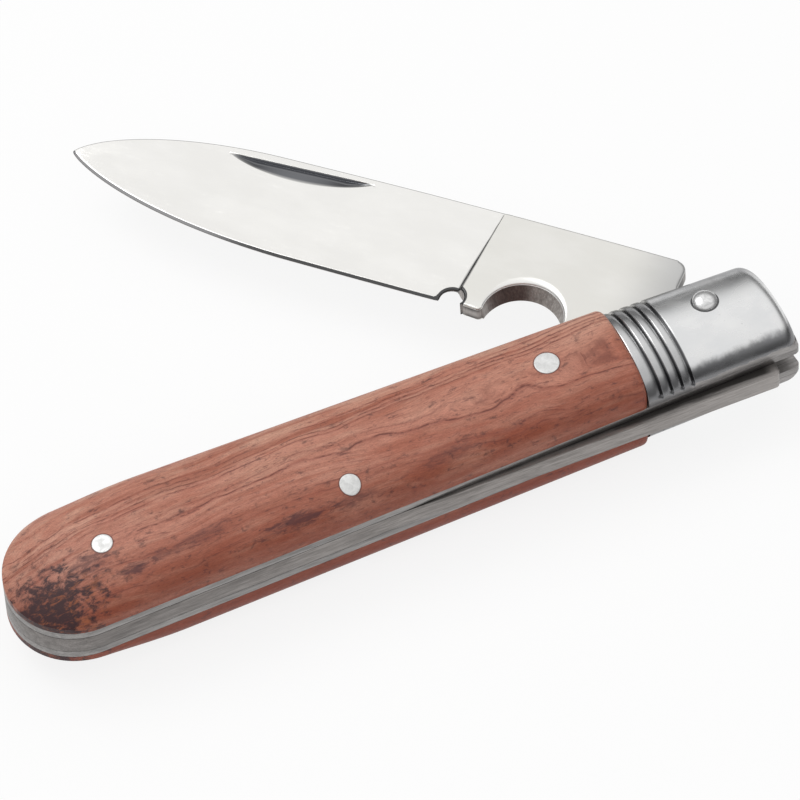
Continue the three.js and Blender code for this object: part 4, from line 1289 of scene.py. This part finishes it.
def blade_finish():
    """Mirror-ground blade with a satin ricasso, dark plunge line and faint handling marks, painted shade
    near the shoulder, along the edge bevel, along the spine's rim and in the nail nick, and a painted
    highlight on the notch's rim.
    """
    f = Finish("blade_steel")
    x, y = f.axis("X"), f.axis("Y")
    plunge = f.math("SUBTRACT", x, f.math("MULTIPLY_ADD", y, PLUNGE_LEAN, plunge_reach(0)))
    ground = f.span(plunge, 0, 0.25)
    smears = f.noise((0.09, 0.22, 0.2), shift=(1, 2, 0))
    marks = f.noise((0.5, 2.6, 1), detail=6, roughness=0.7, shift=(5, 2, 0))
    satin = f.mix(f.span(smears, 0.35, 0.7), (0.715, 0.705, 0.67), (0.755, 0.745, 0.715))
    satin = f.mix(f.span(marks, 0.66, 0.8, 0, 0.35), satin, (0.45, 0.44, 0.42))
    # Painted shade on the ricasso, darker towards the shoulder and the bolster.
    satin = f.mix(f.span(x, 5, 15, 0.62, 0), satin, (0.34, 0.345, 0.355))
    mirror = f.mix(f.span(smears, 0.3, 0.75), (0.84, 0.83, 0.805), (0.885, 0.875, 0.85))
    f.colour = f.mix(ground, satin, mirror)
    deep = f.span(y, -8.6, 0.5, 0.12, 1)
    reach = f.math("DIVIDE", plunge, f.span(y, -8, 3, 0.6, 1.6))
    band = f.times(f.span(reach, -0.16, 0.04), f.span(reach, 0.22, 0.5, 1, 0))
    f.coat(f.times(band, deep), (0.06, 0.06, 0.065))
    # Painted shade: a dark reflection along the cutting edge's bevel.
    below = f.attribute("to_edge")
    f.coat(f.span(below, 0.38, 0.47, 0.96, 0), (0.05, 0.05, 0.052))
    # Painted shade along the spine's rounded rim.
    above = f.attribute("to_spine")
    f.coat(f.span(above, 0.05, 0.2, 0.6, 0), (0.3, 0.3, 0.3))
    # Painted shade in the hollow of the nail nick.
    f.coat(f.attribute("nick"), (0.235, 0.24, 0.255))
    # Painted highlight on the rounded front rim of the notch.
    f.coat(f.attribute("rim"), (0.97, 0.97, 0.96))
    f.finish("Base Color", f.colour)
    fine = f.noise((14, 0.6, 1), roughness=0.6)
    worn = f.span(marks, 0.5, 0.8, 0, 0.14)
    f.finish("Roughness", f.plus(worn, f.span(ground, 0, 1, 0.36, 0.1)))
    bumps = f.times(f.noise((3, 9, 1), detail=4), f.span(ground, 0, 1, 1, 0.1))
    f.finish("Normal", f.relief(fine, 0.0004, f.relief(bumps, 0.0025)))
    return f.material


def cut_finish():
    """The blade's walls: blanked steel, striped across its thickness, darker in the notch, with painted
    light and shade on the kick's land and painted shade at the shoulder.
    """
    f = Finish("blade_cut_steel", metallic=0.6)
    fine = f.noise((5, 5, 0.3), roughness=0.6, shift=(2, 5, 1))
    coarse = f.noise((1.9, 1.9, 0.14), detail=4, roughness=0.65)
    ground = f.math("MULTIPLY_ADD", fine, 0.45, 0.275)
    about_notch = f.near((23.8, 6, 0), (9, 8, 30))
    stripes = f.mix(about_notch, ground, coarse)
    greys = (0.32, (0.15, 0.135, 0.125)), (0.5, (0.36, 0.335, 0.315)), (0.68, (0.72, 0.69, 0.66))
    grey = f.ramp(stripes, *greys)
    tint = f.noise((0.25, 0.25, 0.4), shift=(4, 1, 0))
    brown = f.ramp(stripes, (0.32, (0.035, 0.024, 0.022)), (0.68, (0.24, 0.185, 0.17)))
    notch = f.near((27.4, 3, 0), (4.6, 6, 30))
    share = f.span(f.plus(notch, f.span(tint, 0.3, 0.7, -0.2, 0.2)), 0, 0.75)
    f.colour = f.mix(share, grey, brown)
    level = f.math("ABSOLUTE", f.axis("Z"))
    # Painted light and shade on the kick's land: lighter along its middle, dark towards both faces.
    land = f.mix(f.span(level, 0.1, 0.95), (0.46, 0.44, 0.42), (0.07, 0.066, 0.062))
    kick = f.near((30.7, 7.2, 0), (2.6, 1.6, 30))
    f.coat(kick, land)
    # Painted shade on the wall at the shoulder, next to the bolster.
    shoulder = f.near((6.1, -6.2, 0), (1.2, 2.6, 30))
    f.coat(shoulder, (0.08, 0.078, 0.075))
    f.finish("Base Color", f.colour)
    f.finish("Roughness", f.span(stripes, 0.3, 0.7, 0.55, 0.35))
    f.finish("Normal", f.relief(stripes, 0.02))
    return f.material


def arch_polish_and_shade(f, level, beads, haze):
    """The arch's polish with its specks, and painted dark reflections towards both sides."""
    polished = f.mix(f.span(haze, 0.3, 0.75), (0.72, 0.725, 0.73), (0.785, 0.785, 0.78))
    specks = f.noise((2.2, 2.2, 2.2), roughness=0.6, shift=(7, 3, 0))
    polished = f.mix(f.span(specks, 0.71, 0.76, 0, 0.6), polished, (0.16, 0.15, 0.145))
    # Painted dark reflections: the polish darkens towards the lower and the upper side of the arch.
    lower = f.span(f.math("MULTIPLY_ADD", beads, -0.25, level), 5.15, 6, 1, 0)
    upper = f.span(f.math("MULTIPLY_ADD", beads, -0.6, level), 5.2, 7.2, 1, 0)
    rim = f.span(level, 4.3, 5.4, 1, 0)
    upper = f.math("MAXIMUM", upper, rim)
    shade = f.mix(f.span(f.axis("Y"), -0.5, 0.5), lower, upper)
    return f.mix(f.times(shade, 0.8), polished, (0.10, 0.10, 0.108))


def bolster_finish():
    """Polished arch with painted dark reflections towards both sides, painted shade on the lands and in the
    grooves, soft scratches and specks, and a ground matte band along each side."""
    f = Finish("bolster_steel")
    x = f.axis("X")
    height = f.math("ABSOLUTE", f.axis("Z"))
    groove = f.attribute("groove")
    wave = f.noise((0.9, 0.6, 0.6), detail=4, roughness=0.6)
    level = f.plus(height, f.span(wave, 0.3, 0.7, -0.12, 0.12))
    edge = f.math("MULTIPLY_ADD", groove, 0.55, level)
    band = f.span(edge, GROOVE_END_Z - 0.06, GROOVE_END_Z + 0.08, 1, 0)
    haze = f.noise((0.25, 0.4, 0.4), detail=2, shift=(3, 0, 1))
    brushed = f.noise((0.9, 18, 18), detail=4, roughness=0.7)
    beads = f.span(x, LAST_GROOVE_X, LAST_GROOVE_X + 0.6, 1, 0)
    polished = arch_polish_and_shade(f, level, beads, haze)
    matte = f.mix(f.span(brushed, 0.3, 0.7), (0.29, 0.28, 0.275), (0.47, 0.45, 0.44))
    f.colour = f.mix(band, polished, matte)
    # Painted shade on the lands between the grooves, strongest low on the arch.
    f.coat(f.times(beads, f.span(level, 6.3, 7.9, 0.6, 0.25)), (0.22, 0.22, 0.226))
    # Painted shade in the grooves.
    groove_shade = f.times(f.span(groove, 0.1, 0.85), f.span(band, 0, 1, 1, 0))
    f.coat(f.times(groove_shade, 0.72), (0.105, 0.105, 0.11))
    away = f.away(RIVET_CENTRE)
    seat = f.span(away, RIVET_SEAT_RADIUS - 0.02, RIVET_SEAT_RADIUS + 0.04, 1, 0)
    f.coat(f.times(seat, 0.9), (0.05, 0.05, 0.052))
    f.finish("Base Color", f.colour)
    rough = f.span(haze, 0.25, 0.75, 0.2, 0.32)
    f.finish("Roughness", f.plus(rough, f.times(band, 0.25)))
    pits = f.noise((5, 5, 5), detail=4, roughness=0.6)
    ring = f.relief(f.math("SUBTRACT", 1, seat), 0.12)
    f.finish("Normal", f.relief(pits, 0.004, f.relief(brushed, 0.0015, ring)))
    return f.material


def brushed_finish(name, dark, light, roughness, scaled_and_shaded=False):
    """Steel ground along its length: pale and dark strokes and a few deeper scratches. The spring also
    keeps dark mill scale on its flat faces, worn off near its tip, with painted shadow over them that is
    blackest next to the liner's edge."""
    f = Finish(name)
    strokes = f.noise((0.4, 11, 11), detail=5, roughness=0.75, shift=(1, 2, 3))
    broad = f.noise((0.12, 1.4, 1.4), detail=4, roughness=0.65, shift=(8, 1, 5))
    ground = f.math("MULTIPLY_ADD", broad, 0.5, f.times(strokes, 0.5))
    f.colour = f.mix(f.span(ground, 0.35, 0.65), dark, light)
    scratches = f.noise((0.25, 7, 7), roughness=0.5, shift=(4, 7, 9))
    scratch = f.span(scratches, 0.66, 0.74)
    if scaled_and_shaded:
        f.coat(f.span(f.axis("X"), -96, -45, 0.3, 0), (0.09, 0.085, 0.083))
        f.coat(f.span(f.axis("X"), -22, 2, 0, 0.4), (0.46, 0.435, 0.42))
    f.coat(f.times(scratch, 0.6), (0.09, 0.085, 0.082))
    if scaled_and_shaded:
        # Mill scale on the flat faces, worn off near the tip, with painted shadow over it: blackest next to
        # the liner's edge, where the liner shades it.
        level = f.math("ABSOLUTE", f.axis("Z"))
        face = f.span(level, SPRING_HALF_WIDTH - 0.06, SPRING_HALF_WIDTH - 0.01, 0, 0.93)
        x = f.axis("X")
        inner = f.span(f.plus(f.axis("Y"), f.span(broad, 0.3, 0.7, -0.3, 0.3)), -8.6, -7.8, 0.25, 1)
        inner = f.math("MAXIMUM", inner, f.span(x, -50, -30, 1, 0))
        worn = f.times(inner, f.span(x, SPRING_TIP_X - 2, SPRING_TIP_X - 0.4, 1, 0.4))
        f.coat(f.times(face, worn), (0.034, 0.032, 0.03))
    f.finish("Base Color", f.colour)
    f.finish("Roughness", f.span(strokes, 0.3, 0.7, roughness + 0.1, roughness - 0.08))
    f.finish("Normal", f.relief(strokes, 0.006, f.relief(f.math("SUBTRACT", 1, scratch), 0.01)))
    return f.material


def pin_finish(name, dark, light, metallic, roughness):
    """Soft metal that was hammered and ground flush: mottled, with fine turning scratches."""
    f = Finish(name, metallic=metallic)
    mottle = f.noise((1.1, 1.1, 1.1), detail=5, roughness=0.65, distortion=0.6)
    fine = f.noise((2, 12, 12))
    f.finish("Base Color", f.mix(f.span(mottle, 0.3, 0.7), dark, light))
    f.finish("Roughness", f.span(mottle, 0.3, 0.7, roughness + 0.08, roughness - 0.08))
    f.finish("Normal", f.relief(fine, 0.002, f.relief(mottle, 0.012)))
    return f.material


wood = wood_finish()
blade_steel = blade_finish()
cut_steel = cut_finish()
bolster_steel = bolster_finish()
spring_steel = brushed_finish("spring_steel", (0.18, 0.167, 0.158), (0.37, 0.345, 0.33), 0.42, scaled_and_shaded=True)
liner_steel = brushed_finish("liner_steel", (0.20, 0.192, 0.188), (0.375, 0.36, 0.35), 0.4)
rivet_steel = pin_finish("rivet_steel", (0.50, 0.50, 0.50), (0.86, 0.86, 0.855), 1, 0.3)
pin_metal = pin_finish("pin_aluminium", (0.62, 0.62, 0.61), (0.79, 0.79, 0.78), 0.35, 0.42)

# The pieces

def add_pair(part, ending, mesh, material, slot):
    """A piece on the front of the handle and its mirror image on the rear."""
    for side in ("front", "rear"):
        piece = add_piece(f"{side}_{part}_{ending}", *mesh, material)
        belongs(piece, "handle", slot, f"{side}_{part}")
        mesh = mirrored(*mesh)


add_pair("scale", "wood", scale_mesh(), wood, "scale_wood")

for side, groove_end in (("front", GROOVE_END_Z), ("rear", REAR_GROOVE_END_Z)):
    points, faces, grooves = bolster_mesh(groove_end)
    if side == "rear":
        points, faces = mirrored(points, faces)
    masks = {"groove": grooves}
    piece = add_piece(f"{side}_bolster_cap", points, faces, bolster_steel, masks=masks, sharp=65)
    belongs(piece, "handle", "bolster_steel", f"{side}_bolster")

piece = add_piece("pivot_rivet_heads", *both_sides(*rivet_mesh()), rivet_steel)
belongs(piece, "handle", "rivet_steel", "pivot_rivet")

plate = rounded_plate(handle_outline(), HALF_SLOT, LINER_OUTER_Z, PLATE_EDGE)
add_pair("liner", "plate", plate, liner_steel, "liner_steel")

flush, faces = rounded_plate(spring_outline(), -SPRING_HALF_WIDTH, SPRING_HALF_WIDTH, SPRING_EDGE)
piece = add_piece("spring_bar", spring_lifted(flush), faces, spring_steel, place=flush)
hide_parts("backspring", "backspring_tongue")
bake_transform(piece)

points, faces, normals, place, masks, walls = blade_mesh()
piece = add_piece("blade_body", points, faces, blade_steel, normals=normals, place=place, masks=masks)
piece.data.materials.append(cut_steel)
for wall in walls:
    piece.data.polygons[wall].material_index = 1
belongs(piece, "blade", "blade_steel", "blade")

add_pair("scale_pin", "end", disc_mesh(SCALE_PIN, SCALE_PIN_RADIUS), pin_metal, "pin_aluminium")
for node, centre in (("middle_pin", MIDDLE_PIN), ("butt_pin", BUTT_PIN)):
    points, faces = both_sides(*disc_mesh(centre, THROUGH_PIN_RADIUS))
    piece = add_piece(f"{node}_ends", points, faces, pin_metal)
    belongs(piece, "handle", "pin_aluminium", node)

# Floor, light and camera

scene = bpy.context.scene
scene.view_settings.view_transform = "Standard"

# The studio: white where the camera looks, bright overhead and dark towards the horizon
world = bpy.data.worlds.new("studio")
scene.world = world
world.use_nodes = True
studio = Nodes(world.node_tree)
direction = studio.node("ShaderNodeTexCoord").outputs["Generated"]
height = studio.node("ShaderNodeSeparateXYZ", {0: direction}).outputs["Z"]
dome = studio.ramp(height, (0.0, 0.20), (0.22, 0.24), (0.40, 0.34), (0.58, 0.80), (0.74, 1.0))
seen = studio.node("ShaderNodeLightPath").outputs["Is Camera Ray"]
studio.feed(studio.tree.nodes["Background"].inputs[0], studio.mix(seen, dome, (1, 1, 1)))


def softbox(name, place, aim, size, power):
    lamp = bpy.data.lights.new(name, "AREA")
    lamp.shape = "RECTANGLE"
    lamp.size, lamp.size_y = size
    lamp.energy = power
    item = bpy.data.objects.new(name, lamp)
    item.location = place
    item.rotation_euler = (Vector(aim) - Vector(place)).to_track_quat("-Z", "Y").to_euler()
    scene.collection.objects.link(item)


softbox("key_softbox", place=(-0.25, 0.45, 0.75), aim=(0, 0, 0), size=(0.5, 0.5), power=2.2)

FLOOR_SIDE = 3.0
FLOOR_DROP = 0.0002
FLOOR_GLOW = 0.84
floor_mesh = bpy.data.meshes.new("floor")
half = FLOOR_SIDE / 2
corners = [(-half, -half, 0), (half, -half, 0), (half, half, 0), (-half, half, 0)]
floor_mesh.from_pydata(corners, [], [(0, 1, 2, 3)])
floor = bpy.data.objects.new("floor", floor_mesh)
floor.location = (0, 0, -FLOOR_DROP)
scene.collection.objects.link(floor)
floor_paint = bpy.data.materials.new("floor_paint")
floor_paint.use_nodes = True
paint = Nodes(floor_paint.node_tree)
matte = paint.tree.nodes["Principled BSDF"]
for socket, value in (("Base Color", (0.9, 0.9, 0.9, 1)), ("Roughness", 1), ("Specular IOR Level", 0)):
    matte.inputs[socket].default_value = value
path = paint.node("ShaderNodeLightPath").outputs
seen = paint.math("MAXIMUM", path["Is Camera Ray"], path["Is Glossy Ray"])
glow = paint.node("ShaderNodeEmission", {"Strength": 1.0}).outputs[0]
blend = paint.node("ShaderNodeMixShader", {0: paint.times(seen, FLOOR_GLOW), 1: matte.outputs[0], 2: glow})
paint.feed(paint.tree.nodes["Material Output"].inputs[0], blend.outputs[0])
floor_mesh.materials.append(floor_paint)

ELEVATION = math.radians(54.28)
HEADING = math.radians(21.29)
ROLL = math.radians(4.22)
PIXELS_PER_MM = 7.55
DISTANCE = 1200.0
IMAGE_SIDE = 800
PIVOT_PIXEL = (706.25, 336.83)
SENSOR = 36

right = Vector((math.cos(HEADING), -math.sin(HEADING), 0))
upward = Vector((
    math.sin(HEADING) * math.sin(ELEVATION),
    math.cos(HEADING) * math.sin(ELEVATION),
    math.cos(ELEVATION),
))
forward = Vector((
    math.sin(HEADING) * math.cos(ELEVATION),
    math.cos(HEADING) * math.cos(ELEVATION),
    -math.sin(ELEVATION),
))
camera_x = math.cos(ROLL) * right - math.sin(ROLL) * upward
camera_y = math.sin(ROLL) * right + math.cos(ROLL) * upward
off_x = (PIVOT_PIXEL[0] - IMAGE_SIDE / 2) / PIXELS_PER_MM
off_y = (IMAGE_SIDE / 2 - PIVOT_PIXEL[1]) / PIXELS_PER_MM
pivot = Vector((PIVOT_X, 0, HALF_THICKNESS))
placement = Matrix((camera_x, camera_y, -forward)).transposed().to_4x4()
placement.translation = (pivot - off_x * camera_x - off_y * camera_y - DISTANCE * forward) / 1000
camera_data = bpy.data.cameras.new("camera")
camera_data.sensor_width = SENSOR
camera_data.lens = PIXELS_PER_MM * DISTANCE * SENSOR / IMAGE_SIDE
camera_data.clip_start = 0.1
camera_data.clip_end = 10
camera = bpy.data.objects.new("camera", camera_data)
scene.collection.objects.link(camera)
camera.matrix_world = placement
scene.camera = camera
